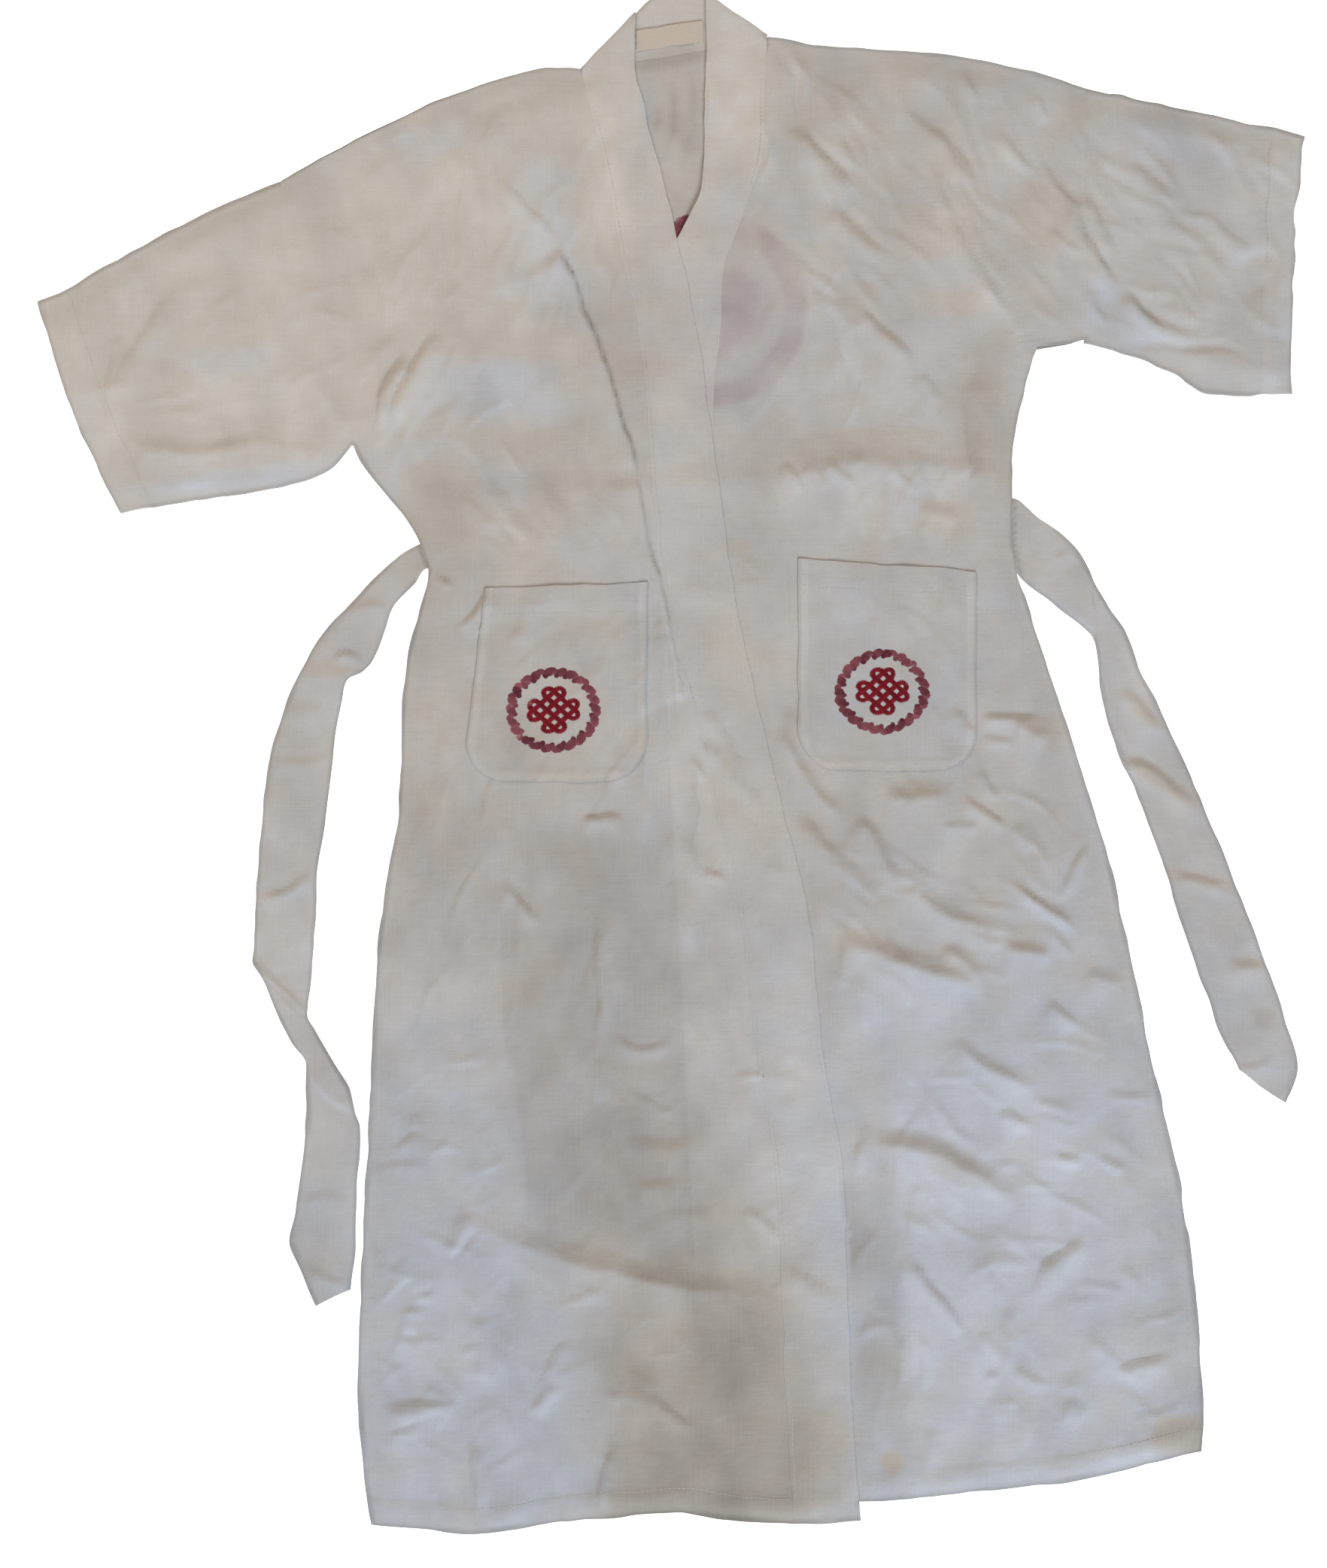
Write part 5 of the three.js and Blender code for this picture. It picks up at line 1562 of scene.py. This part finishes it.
class Neckband:
    """One doubled strip, from the right front's hem round the neck to the left front's hem."""

    parts = 10  # points across the strip
    roll = 0.8  # inner radius of the roll at each fold
    roll_parts = 8
    settle = 34.0  # distance from a fold within which the strip comes down
    sewn_share = 0.8  # thickness at the sewn edge, as a share

    def __init__(self, drape: Drape) -> None:
        """Keeps the heights."""
        self.drape = drape

    def lines(self, table: Table) -> Array:
        """Crossing lines at even steps along a stretch.

        Args:
            table: its crossing lines.

        Returns:
            For each line, its sewn end and its free end.
        """
        data = table.points()
        run = (distances(data[:, :2]) + distances(data[:, 2:])) / 2
        places = np.linspace(0, run[-1], int(math.ceil(run[-1] / BAND_STEP)) + 1)
        return np.stack(table.spread(run, places), 1)

    def across(self, line: Array) -> Array:
        """Plan points from a line's sewn end to its free end."""
        t = np.linspace(0, 1, self.parts + 1)[:, None]
        return blend(line[None, :2], line[None, 2:], t)

    def flat(self, table: Table, fold: Array, surface: Surface) -> tuple[Array, Array]:
        """Lower and upper points of a stretch that lies on a front.

        Args:
            table: its crossing lines.
            fold: the line at the neck that it comes from.
            surface: height of what it lies on.

        Returns:
            The two grids.
        """
        rows = np.stack([self.across(line) for line in self.lines(table)])
        x, y = rows[..., 0], rows[..., 1]
        middle = rows.mean(axis=1)
        away = np.hypot(*(middle - self.across(fold).mean(axis=0)).T)
        settled = ramp(0, self.settle, away)[:, None]
        top = BAND_CLOTH + 2 * self.roll
        z = blend(top, surface(x, y) + SEAM_STEP, settled)
        lower = np.stack([x, y, z], 2)
        t = np.linspace(0, 1, self.parts + 1)[None, :]
        full = blend(self.sewn_share, 1, ramp(0, 0.15, t))
        thickness = BAND_CLOTH * blend(1, full, settled)
        return lower, lower + np.dstack([0 * z, 0 * z, thickness])

    def round_fold(self, fold: Array, side: float) -> tuple[Array, Array]:
        """Points of the roll over one fold, from its upper side down.

        Args:
            fold: the line of the fold.
            side: 1 or -1, the way that the roll bulges.

        Returns:
            The two grids.
        """
        run = (fold[2:] - fold[:2]) / np.linalg.norm(fold[2:] - fold[:2])
        outward = np.array([-run[1] * side, run[0] * side, 0])
        plan = self.across(fold)
        lower, upper = [], []
        for i in range(1, self.roll_parts):
            angle = math.pi * i / self.roll_parts
            out = np.array([0, 0, math.cos(angle)]) + outward * math.sin(angle)
            base = np.column_stack([plan, np.full(len(plan), BAND_CLOTH + self.roll)])
            lower.append(base + out * self.roll)
            upper.append(base + out * (self.roll + BAND_CLOTH))
        return np.stack(lower), np.stack(upper)

    def build(self) -> Piece:
        """Makes the strip.

        Returns:
            The new object.
        """
        right, left = NECK_BAND.points()[[0, -1]]
        neck = np.stack([self.across(line) for line in self.lines(NECK_BAND)])
        level = np.full(neck.shape[:2], BAND_CLOTH)
        floor_upper = np.dstack([neck, level])
        floor_lower = np.dstack([neck, level - BAND_CLOTH])
        first = self.round_fold(right, 1)
        last = self.round_fold(left, -1)
        parts = [
            self.flat(OVER_BAND, right, self.drape.over),
            first,
            (floor_upper, floor_lower),
            (last[0][::-1], last[1][::-1]),
            self.flat(UNDER_BAND, left, self.drape.under),
        ]
        lower = np.concatenate([p[0] for p in parts])
        upper = np.concatenate([p[1] for p in parts])
        return Slab("neckband_cloth", lower, upper).make()


@dataclass
class Pocket:
    """A patch pocket with round lower corners and a turned mouth."""

    name: str
    corners: tuple[tuple[float, float], ...]  # lower left, lower right, upper right, upper left
    surface: Surface
    rests_on: str
    radius: float = 34.0  # of the lower corners
    gape: float = 0.4  # how far the mouth stands open
    thickness: float = 0.34
    mouth: float = 24.0  # depth of the mouth's hem
    mouth_step: float = 0.15  # how far that hem stands up
    edge_step: float = 0.32  # how far the turned-in edge stands up
    edge_reach: tuple[float, float] = (9.0, 7.5)  # distance in from the edge where it ends
    turned_edge_tone_and_highlight: float = 0.28  # lightness of the turned-in edge: its doubled cloth, with a painted highlight on the raised edge
    painted_rim_shade: float = -0.65  # painted shade along its rim

    def spot(self, u: Array, v: Array) -> tuple[Array, Array]:
        """Plan point at shares of the width and height.

        Args:
            u: share of the width.
            v: share of the height.

        Returns:
            X and Y.
        """
        (ax, ay), (bx, by), (cx, cy), (dx, dy) = self.corners
        x = blend(blend(ax, bx, u), blend(dx, cx, u), v)
        y = blend(blend(ay, by, u), blend(dy, cy, u), v)
        return x, y

    def size(self) -> tuple[float, float]:
        """Width along the foot and height along the side."""
        (ax, ay), (bx, _), _, (_, dy) = self.corners
        return bx - ax, dy - ay

    def inset(self, v: Array) -> Array:
        """How far the round corners draw the sides in."""
        _, height = self.size()
        short = np.clip(self.radius - v * height, 0, None)
        return self.radius - np.sqrt(np.clip(self.radius**2 - short**2, 0, None))

    def inward(self, u: Array, v: Array) -> Array:
        """Distance in from the sewn sides and foot."""
        width, height = self.size()
        return np.minimum(np.minimum(u, 1 - u) * width - self.inset(v), v * height)

    def upper_face(self, x: Array, y: Array, u: Array, v: Array) -> Array:
        """Height of the pocket's upper face, thicker where its edge is turned in."""
        turned_in = self.edge_step * ramp(*self.edge_reach, self.inward(u, v))
        return self.lower_face(x, y, u, v) + self.thickness + turned_in

    def shade_edge(self, piece: Piece) -> None:
        """Makes the turned-in edge lighter, for its doubled cloth and as a painted highlight, and paints
        shade along its rim.

        Args:
            piece: the pocket's cloth, with its colours stored.
        """
        points = to_tables(piece)
        points = 2 * points - unevened(points)
        v = (points[:, 1] - self.corners[0][1]) / self.size()[1]
        for _ in range(2):
            left, _ = self.spot(0.0, v)
            right, _ = self.spot(1.0, v)
            u = (points[:, 0] - left) / (right - left)
            _, foot = self.spot(u, 0.0)
            _, mouth = self.spot(u, 1.0)
            v = (points[:, 1] - foot) / (mouth - foot)
        inward = self.inward(u, v)
        # Doubled cloth with a painted highlight inside the edge, and painted shade on its rim.
        change = self.turned_edge_tone_and_highlight * ramp(*self.edge_reach, inward)
        change += self.painted_rim_shade * ramp(1.6, 0.3, inward)
        store(piece, "tone", kept(piece, "tone") + change)

    def lower_face(self, x: Array, y: Array, u: Array, v: Array) -> Array:
        """Height of the pocket's lower face."""
        _, height = self.size()
        from_mouth = (1 - v) * height
        open_share = ramp(self.mouth, 0, from_mouth) * np.sin(np.pi * np.clip(u, 0, 1)) ** 0.7
        open_share = open_share * (1 + Ripple(61, 19, 19, 0.9).at(x, y))
        turned = self.mouth_step * ramp(self.mouth - 1, self.mouth - 4, from_mouth)
        return self.surface(x, y) + CLOTH + 0.05 + self.gape * open_share + turned

    def middle_face(self, x: Array, y: Array) -> Array:
        """Height of the upper face inside the edge, from plan points.

        Args:
            x: places along X.
            y: places along Y.

        Returns:
            The height at each place.
        """
        width, height = self.size()
        u, v = (x - self.corners[0][0]) / width, (y - self.corners[0][1]) / height
        return self.lower_face(x, y, u, v) + self.thickness

    def top_at(self, u: Array, v: Array, lift: float) -> Array:
        """Points above the upper face, at shares of the width and height."""
        x, y = self.spot(u, v)
        return np.stack([x, y, self.upper_face(x, y, u, v) + lift], -1)

    def build(self) -> Piece:
        """Makes the pocket.

        Returns:
            The new object.
        """
        width, height = self.size()
        angle = np.linspace(0, math.pi / 2, 13)[:-1]
        corner = self.radius * (1 - np.cos(angle)) / height
        rest = np.linspace(self.radius / height, 1, int((height - self.radius) / POCKET_STEP))
        v = np.concatenate([corner, rest])[:, None]
        across = np.linspace(0, 1, int(width / POCKET_STEP))[None, :]
        edge = self.inset(v) / width
        u = blend(edge, 1 - edge, across)
        x, y = self.spot(u, v)
        lower = np.stack([x, y, self.lower_face(x, y, u, v)], 2)
        upper = np.stack([x, y, self.upper_face(x, y, u, v)], 2)
        return Slab(self.name, lower, upper).make()


# Belt creases, each across the strip, with the same columns as the robe's own folds
BELT_ROLLS = Table(FOLD, (
    (-274, 76, -258, 88, -240, 76, -5, 2.0), (-326, -103, -305, -99, -285, -84, -5, 1.8),
    (-322, 8, -296, 0, -270, 10, -6, 0.8), (-300, -352, -276, -344, -252, -350, -6, 0.8),
    (-290, -402, -272, -410, -254, -416, -5, 1.0), (366, 60, 378, 42, 396, 22, -5, 1.8),
    (358, 4, 388, -6, 424, -36, -6, 2.4), (398, -88, 424, -94, 452, -100, -5, 1.4),
    (448, -160, 460, -162, 474, -160, -6, 1.4), (450, -242, 466, -240, 480, -232, -5, 1.2),
    (300, 160, 312, 170, 326, 168, -5, 0.8), (-262, 120, -240, 126, -222, 118, -5, 0.8),
    (-312, 40, -288, 46, -262, 40, -8, 0.7),
))
BELT_LIPS = Table(FOLD, (
    (-338, -158, -314, -184, -284, -206, 2.0, 1.8), (-292, -244, -276, -268, -248, -284, 2.0, 1.6),
    (337, 158, 338, 128, 337, 90, -2.0, 1.6),
))


class Belt:
    """The robe's own belt, one doubled strip that runs under the waist."""

    parts = 14  # points across the strip
    thickness = 1.0
    level = 0.5  # how high the strip lies where it is even
    ripples = (Ripple(41, 36, 46, 0.5), Ripple(43, 14, 18, 0.25))

    def relief(self, x: Array, y: Array) -> Array:
        """How far the strip stands off the floor."""
        folds = Folds(BELT_ROLLS, FoldKind.ROLL).height(x, y)
        folds = folds + Folds(BELT_LIPS, FoldKind.LIP).height(x, y)
        folds = folds + sum(ripple.at(x, y) for ripple in self.ripples) + self.level
        hidden = ramp(-196, -186, x) * ramp(262, 250, x)
        return np.clip(folds, 0, 6) * (1 - hidden)

    def build(self) -> Piece:
        """Makes the belt.

        Returns:
            The new object.
        """
        data = BELT.points()
        run = distances((data[:, :2] + data[:, 2:]) / 2)
        places = np.linspace(0, run[-1], int(run[-1] / BELT_STEP))
        ends = [column[:, None] for column in BELT.spread(run, places)]
        t = np.linspace(0, 1, self.parts + 1)[None, :]
        x, y = blend(ends[0], ends[2], t), blend(ends[1], ends[3], t)
        pressed = ramp(0, 0.10, t) * ramp(1, 0.90, t)
        z = self.relief(x, y) * blend(0.25, 1, pressed)
        lower = np.stack([x, y, z], 2)[:, ::-1]
        upper = lower + np.array([0, 0, self.thickness])
        return Slab("belt_cloth", lower, upper).make()


class Label:
    """The small bare label inside the back of the neck."""

    x, y, width, height, thickness = 0.0, 577.5, 52.0, 17.0, 0.4
    tilt = 0.16  # rise across the label, as a share of its width

    def spot(self, u: Array, v: Array, lift: float) -> Array:
        """Points on the label.

        Args:
            u: share of the width, from -0.5 to 0.5.
            v: share of the height, from -0.5 to 0.5.
            lift: how far above the band.

        Returns:
            One row of X, Y and Z for each point.
        """
        x = self.x + u * self.width
        y = self.y + v * self.height + u * self.width * self.tilt
        wave = 0.25 * np.sin(u * 9) * (0.5 - v)
        return np.stack([x, y, BAND_CLOTH + 0.3 + lift + wave], -1)

    def build(self) -> Piece:
        """Makes the label."""
        u, v = np.meshgrid(np.linspace(-0.5, 0.5, 27), np.linspace(-0.5, 0.5, 10))
        return Slab("label_cloth", self.spot(u, v, 0.0), self.spot(u, v, self.thickness)).make()


# Thread

# Sections along one thread: place, height and width, as shares
THREAD = Table("along rise wide", (
    (0.0, 0.0, 0.55), (0.2, 0.75, 1.0), (0.5, 1.0, 1.0), (0.8, 0.75, 1.0), (1.0, 0.0, 0.55),
))

# Ovals of one cloud, as shares: place along the ring, distance from the middle, half sizes, with the
# lean of the threads and their lightness
CLOUD = Table("lag share across along lean lift", (
    (0.0, 0.890, 0.112, 0.105, 0.5, 0.0),
    (0.33, 0.835, 0.085, 0.070, 1.3, -0.15),
    (0.62, 0.925, 0.090, 0.075, -0.7, 0.18),
))


@dataclass
class Strokes:
    """Many short arched threads in one mesh."""

    name: str
    width: float
    arch: float
    starts: list[Array] = field(default_factory=list)
    ends: list[Array] = field(default_factory=list)
    shades: list[float] = field(default_factory=list)

    def add(self, start: Array, end: Array, shade: float) -> None:
        """Adds one thread between two points."""
        self.starts.append(np.asarray(start, float))
        self.ends.append(np.asarray(end, float))
        self.shades.append(shade)

    def build(self) -> Piece:
        """Makes the threads.

        Returns:
            The new object.
        """
        a, b = np.array(self.starts), np.array(self.ends)
        along = b - a
        flat = along[:, :2] / np.maximum(np.linalg.norm(along[:, :2], axis=1), 1e-6)[:, None]
        side = np.column_stack([-flat[:, 1], flat[:, 0], np.zeros(len(a))]) * self.width / 2
        up = np.array([0, 0, self.arch])
        stations = []
        for t, rise, wide in THREAD.rows:
            middle = a + along * t
            stations.append(middle - side * wide)
            stations.append(middle + up * rise)
            stations.append(middle + side * wide)
        points = np.stack(stations, 1).reshape(-1, 3)
        each = 3 * len(THREAD.rows)
        first = np.array([s + k for s in range(0, each - 3, 3) for k in (0, 1)])
        faces = np.stack([first, first + 3, first + 4, first + 1], 1)
        quads = (faces + (np.arange(len(a)) * each)[:, None, None]).reshape(-1, 4)
        piece = make_mesh(self.name, points, quads)
        store(piece, "shade", np.repeat(np.array(self.shades), each))
        return piece


class Sewing:
    """Machine stitching along the hems, the band, the cuffs and the pockets."""

    stitch = 2.6  # length of a stitch
    gap = 1.0  # between two stitches
    lift = 0.04  # how far the thread lies above the cloth
    band_shares = (0.06, 0.95)  # where the neckband's two lines run across it
    mouth_lines = (13.0, 21.0)  # distance of a pocket's lines from its mouth
    pocket_margin = 2.4

    def __init__(self, drape: Drape) -> None:
        """Starts with no stitches."""
        self.drape = drape
        self.strokes = Strokes("sewing_thread", 0.45, 0.06)
        self.random = np.random.default_rng(5)

    def line(self, points: Array) -> None:
        """Sews along a line of points that lie on the cloth.

        Args:
            points: one row of X, Y and Z for each point.
        """
        run = distances(points)
        place = 0.0
        while place + self.stitch < run[-1]:
            ends = [
                np.array([np.interp(p, run, points[:, c]) for c in range(3)])
                for p in (place, place + self.stitch)
            ]
            self.strokes.add(ends[0], ends[1], float(self.random.uniform(0.2, 0.9)))
            place += self.stitch + self.gap

    def on(self, x: Array, y: Array, surface: Surface, thickness: float) -> None:
        """Sews along plan points on a surface."""
        z = surface(x, y) + thickness + self.lift
        self.line(np.stack([x, y, z], 1))

    def fronts(self) -> None:
        """Hems of the two fronts and their side seams."""
        over, under = self.drape.over, self.drape.under
        for hem, start, end, count, surface in (
            (RIGHT_HEM, -226, 96, 160, over),
            (LEFT_HEM, 158, 408, 120, under),
        ):
            x = np.linspace(start, end, count)
            self.on(x, hem.read("x", "y", x) + HEM, surface, CLOTH)
        for side, start, end, count, inset, surface in (
            (RIGHT_SIDE, -590, 110, 300, SIDE_SEAM, over),
            (LEFT_SIDE, -530, 300, 340, -SIDE_SEAM, under),
        ):
            y = np.linspace(start, end, count)
            self.on(side.read("y", "x", y) + inset, y, surface, CLOTH)

    def band(self) -> None:
        """Both edges of the neckband where they show."""
        for table, start, end, count, surface in (
            (OVER_BAND, -585, 520, 420, self.drape.over),
            (UNDER_BAND, 452, 545, 60, self.drape.under),
        ):
            y = np.linspace(start, end, count)
            a, b = table.read("sewn_y", "sewn_x", y), table.read("free_y", "free_x", y)
            for share in self.band_shares:
                self.on(blend(a, b, share), y, surface, BAND_CLOTH + SEAM_STEP)

    def cuffs(self) -> None:
        """Turned hems of the sleeves."""
        t = np.linspace(0.04, 0.96, 90)
        for x1, y1, x2, y2, bow in CUFF_SEAMS.rows:
            x = blend(x1, x2, t) + bow * (4 * t * (1 - t))
            self.on(x, blend(y1, y2, t), self.drape.sleeve, CLOTH)

    def pocket(self, pocket: Pocket) -> None:
        """Round a pocket and along its mouth.

        Args:
            pocket: the pocket.
        """
        width, height = pocket.size()
        for away in self.mouth_lines:
            u = np.linspace(0.02, 0.98, 50)
            self.line(pocket.top_at(u, np.full_like(u, 1 - away / height), self.lift))
        margin = self.pocket_margin
        v = np.linspace(margin / height, 0.99, 90)
        edge = (pocket.inset(v) + margin) / width
        self.line(pocket.top_at(edge, v, self.lift))
        self.line(pocket.top_at(1 - edge, v, self.lift))
        u = np.linspace(edge[0], 1 - edge[0], 40)
        self.line(pocket.top_at(u, np.full_like(u, v[0]), self.lift))

    def label(self, label: Label) -> None:
        """The two short ends of the label."""
        for u in (-0.47, 0.47):
            v = np.linspace(-0.44, 0.44, 12)
            self.line(label.spot(np.full_like(v, u), v, label.thickness + self.lift))

    def build(self) -> Piece:
        """Makes the thread."""
        return self.strokes.build()


@dataclass
class Roundel:
    """A round spray of satin-stitched clouds about an endless knot."""

    name: str
    centre: tuple[float, float]
    radius: tuple[float, float]
    surface: Surface
    seed: int
    pitch: float = 0.42  # between two threads side by side
    clouds: int = 22
    bar_width: float = 0.115  # the knot's sizes, in shares of the radius
    bars: tuple[float, ...] = (-0.30, -0.10, 0.10, 0.30)
    reach: float = 0.36
    loop: float = 0.11
    thread: float = 0.62  # width of a thread
    arches: tuple[float, float] = (0.34, 0.42)  # how high it arches in the clouds and in the knot
    lift: float = 0.03  # how far its ends lie above the cloth

    def __post_init__(self) -> None:
        """Starts the two sets of threads."""
        self.random = np.random.default_rng(self.seed)
        self.ring = Strokes(self.name + "_clouds", self.thread, self.arches[0])
        self.knot = Strokes(self.name + "_knot", self.thread, self.arches[1])

    def lay(self, strokes: Strokes, start: Array, end: Array, shade: float) -> None:
        """Adds one thread between plan points in shares of the radius."""
        centre, radius = np.array(self.centre), np.array(self.radius)
        strokes.add(centre + start * radius, centre + end * radius, shade)

    def settle(self, strokes: Strokes) -> Piece:
        """Lays all threads of a set on the cloth.

        Args:
            strokes: the set.

        Returns:
            Its object.
        """
        for ends in (strokes.starts, strokes.ends):
            plan = np.array(ends)
            height = self.surface(plan[:, 0], plan[:, 1]) + self.lift
            ends[:] = list(np.column_stack([plan, height]))
        return strokes.build()

    def satin(self, centre: Array, half: tuple[float, float], turn: float, shade: float) -> None:
        """Fills an oval with parallel threads.

        Args:
            centre: its middle, in shares of the radius.
            half: half its length across the threads and half its width along them.
            turn: angle of the threads.
            shade: how light they are.
        """
        along = np.array([math.cos(turn), math.sin(turn)])
        across = np.array([-along[1], along[0]])
        count = max(3, int(2 * half[0] * min(self.radius) / self.pitch))
        for k in range(count):
            f = (k + 0.5) / count * 2 - 1
            chord = half[1] * math.sqrt(max(0.0, 1 - f * f)) * self.random.uniform(0.86, 1.06)
            middle = centre + across * (f * half[0])
            tint = shade + self.random.uniform(-0.16, 0.16)
            self.lay(self.ring, middle - along * chord, middle + along * chord, tint)

    def wreath(self) -> None:
        """The ring of clouds, three ovals to a cloud, over a line of small stitches."""
        turn = 2 * math.pi / self.clouds
        for k in range(self.clouds):
            angle = turn * (k + self.random.uniform(-0.12, 0.12))
            shade = float(self.random.uniform(0.05, 0.75))
            for lag, share, across, along, lean, lift in CLOUD.rows:
                place = angle + lag * turn
                spot = share * np.array([math.cos(place), math.sin(place)])
                self.satin(spot, (across, along), place + lean, shade + lift)

    def bar(self, points: Array, width: float) -> None:
        """A satin bar along a line, its threads across it.

        Args:
            points: the line, in shares of the radius.
            width: its width, in shares of the radius.
        """
        run = distances(points)
        count = int(run[-1] * min(self.radius) / self.pitch)

        def at(place: float) -> Array:
            """The line's point at a distance from its start."""
            place = min(max(place, 0.0), float(run[-1]))
            return np.array([np.interp(place, run, points[:, c]) for c in range(2)])

        for k in range(count + 1):
            place = run[-1] * k / count
            way = at(place + 0.01) - at(place - 0.01)
            way = way / max(float(np.linalg.norm(way)), 1e-9)
            across = np.array([-way[1], way[0]]) * width / 2 * self.random.uniform(0.92, 1.05)
            shade = 0.4 + self.random.uniform(-0.3, 0.3)
            self.lay(self.knot, at(place) - across, at(place) + across, shade)

    def weave_knot(self) -> None:
        """The endless knot: four bars each way, joined in pairs by loops."""
        reach = self.reach
        for turn in (math.pi / 4, -math.pi / 4):
            c, s = math.cos(turn), math.sin(turn)
            spin = np.array([[c, s], [-s, c]])
            for off in self.bars:
                self.bar(np.array([[-reach, off], [reach, off]]) @ spin, self.bar_width)
            for first, second, end in ((0, 1, 1), (2, 3, 1), (0, 1, -1), (2, 3, -1)):
                a, b = self.bars[first], self.bars[second]
                t = np.linspace(-math.pi / 2, math.pi / 2, 9)
                x = end * (reach + self.loop * np.cos(t))
                y = (a + b) / 2 + (b - a) / 2 * np.sin(t)
                self.bar(np.stack([x, y], 1) @ spin, self.bar_width)

    def build(self) -> tuple[Piece, Piece]:
        """Makes the clouds and the knot, in that order."""
        self.wreath()
        self.weave_knot()
        return self.settle(self.ring), self.settle(self.knot)


# Studio


class Studio:
    """Floor, lights and camera."""

    view_size = (1058.4, 1251.0)  # what the camera takes in on the floor
    view_middle = (-5.9, -18.24)
    lens = 60.0
    sensor = 36.0
    floor_reach = 4000.0
    floor_faces = (-12.0, -0.3)

    def floor(self) -> None:
        """A wide plain floor just under the robe."""
        line = np.linspace(-self.floor_reach, self.floor_reach, 9)
        u, v = np.meshgrid(line, line)
        lower, upper = (np.stack([u, v, np.full_like(u, z)], 2) for z in self.floor_faces)
        made = Slab("floor", lower, upper).make()
        made.data.materials.append(FloorFinish().material())

    def lamp(
        self,
        name: str,
        spot: tuple[float, float, float],
        size: float,
        power: float,
        tint: tuple[float, float, float],
    ) -> None:
        """A soft square lamp that points at the robe.

        Args:
            name: its name.
            spot: where it is, in metres.
            size: its side, in metres.
            power: its power in watts.
            tint: its colour.
        """
        light = bpy.data.lights.new(name, "AREA")
        light.energy, light.size, light.color = power, size, tint
        made = bpy.data.objects.new(name, light)
        made.location = spot
        made.rotation_euler = (-Vector(spot)).to_track_quat("-Z", "Y").to_euler()
        bpy.context.scene.collection.objects.link(made)

    def lights(self) -> None:
        """Cool low light from beyond the hem, warm fill from beyond the neck, and even sky."""
        self.lamp("window_light", (2.8, -8.0, 4.1), size=3.6, power=830.0, tint=(0.84, 0.925, 1.0))
        self.lamp("room_light", (-3.2, 4.2, 3.4), size=5.0, power=190.0, tint=(1.0, 0.88, 0.74))
        world = bpy.data.worlds.new("even_sky")
        bpy.context.scene.world = world
        world.use_nodes = True
        sky = next(n for n in world.node_tree.nodes if n.type == "BACKGROUND")
        sky.inputs["Color"].default_value = (1.0, 0.985, 0.96, 1)
        sky.inputs["Strength"].default_value = 0.20
        bpy.context.scene.view_settings.view_transform = "Standard"

    def camera(self) -> None:
        """A camera straight above, framed on the whole robe."""
        data = bpy.data.cameras.new("overhead")
        data.lens, data.sensor_width = self.lens, self.sensor
        made = bpy.data.objects.new("overhead", data)
        high = self.view_size[1] / 1000 / self.sensor * self.lens
        made.location = (self.view_middle[0] / 1000, self.view_middle[1] / 1000, high)
        bpy.context.scene.collection.objects.link(made)
        bpy.context.scene.camera = made


def main() -> None:
    """Builds the robe piece by piece."""
    logging.basicConfig(level=logging.INFO, format="%(name)s %(message)s")
    studio = Studio()
    studio.floor()
    studio.camera()
    studio.lights()

    drape = Drape()
    cloth = ClothFinish("robe_weave").material()
    Body(drape).build(cloth)

    for name, top, foot, bow, low_x, node in (
        ("right_sleeve_cloth", RIGHT_SLEEVE_TOP, RIGHT_SLEEVE_FOOT, -6.0, True, "sleeve_right"),
        ("left_sleeve_cloth", LEFT_SLEEVE_TOP, LEFT_SLEEVE_FOOT, -3.0, False, "sleeve_left"),
    ):
        sleeve = Sleeve(name, top, foot, bow, low_x).build(drape)
        colour_points(sleeve, drape)
        dress(sleeve, cloth, [node])

    band = Neckband(drape).build()
    colour_points(band, drape, lift=0.16, ghost=0.05)
    dress(band, cloth, ["neckband"])

    sewing = Sewing(drape)
    sewing.fronts()
    sewing.band()
    sewing.cuffs()
    pockets = (
        Pocket(
            "right_pocket_cloth",
            ((-166, -17), (-19, -18), (-18, 141), (-147, 137)),
            drape.over,
            "right_front_cloth",
        ),
        Pocket(
            "left_pocket_cloth",
            ((101, -9), (244, -9), (243, 150.5), (102.5, 161)),
            drape.under,
            "left_front_cloth",
        ),
    )
    sprays = (("pocket_right", (-93, 40.2), 21), ("pocket_left", (169, 54.4), 22))
    clouds = ThreadFinish("cloud_thread", (0.13, 0.022, 0.038, 1), (0.4, 0.12, 0.15, 1)).material()
    knots = ThreadFinish("knot_thread", (0.15, 0.003, 0.01, 1), (0.42, 0.012, 0.034, 1)).material()
    for pocket, (node, centre, seed) in zip(pockets, sprays):
        piece = pocket.build()
        colour_points(piece, drape, lift=-0.10)
        pocket.shade_edge(piece)
        dress(piece, cloth, [node])
        sewing.pocket(pocket)
        spray = Roundel(node + "_spray", centre, (38.0, 34.0), pocket.middle_face, seed).build()
        dress(spray[0], clouds)
        dress(spray[1], knots)

    back_spray = Roundel(
        "back_spray", TINT.ghost_centre, (77, 77), drape.back_top, 23, pitch=0.62, clouds=30
    ).build()
    dress(back_spray[0], clouds)
    dress(back_spray[1], knots)

    label = Label()
    piece = label.build()
    dress(piece, LabelFinish().material(), ["label"])
    sewing.label(label)

    belt = Belt().build()
    colour_points(belt, None, lift=0.02)
    dress(belt, cloth, ["belt"])

    white = ThreadFinish("white_thread", (0.52, 0.50, 0.48, 1), (0.66, 0.64, 0.61, 1)).material()
    dress(sewing.build(), white)


if __name__ == "__main__":
    main()
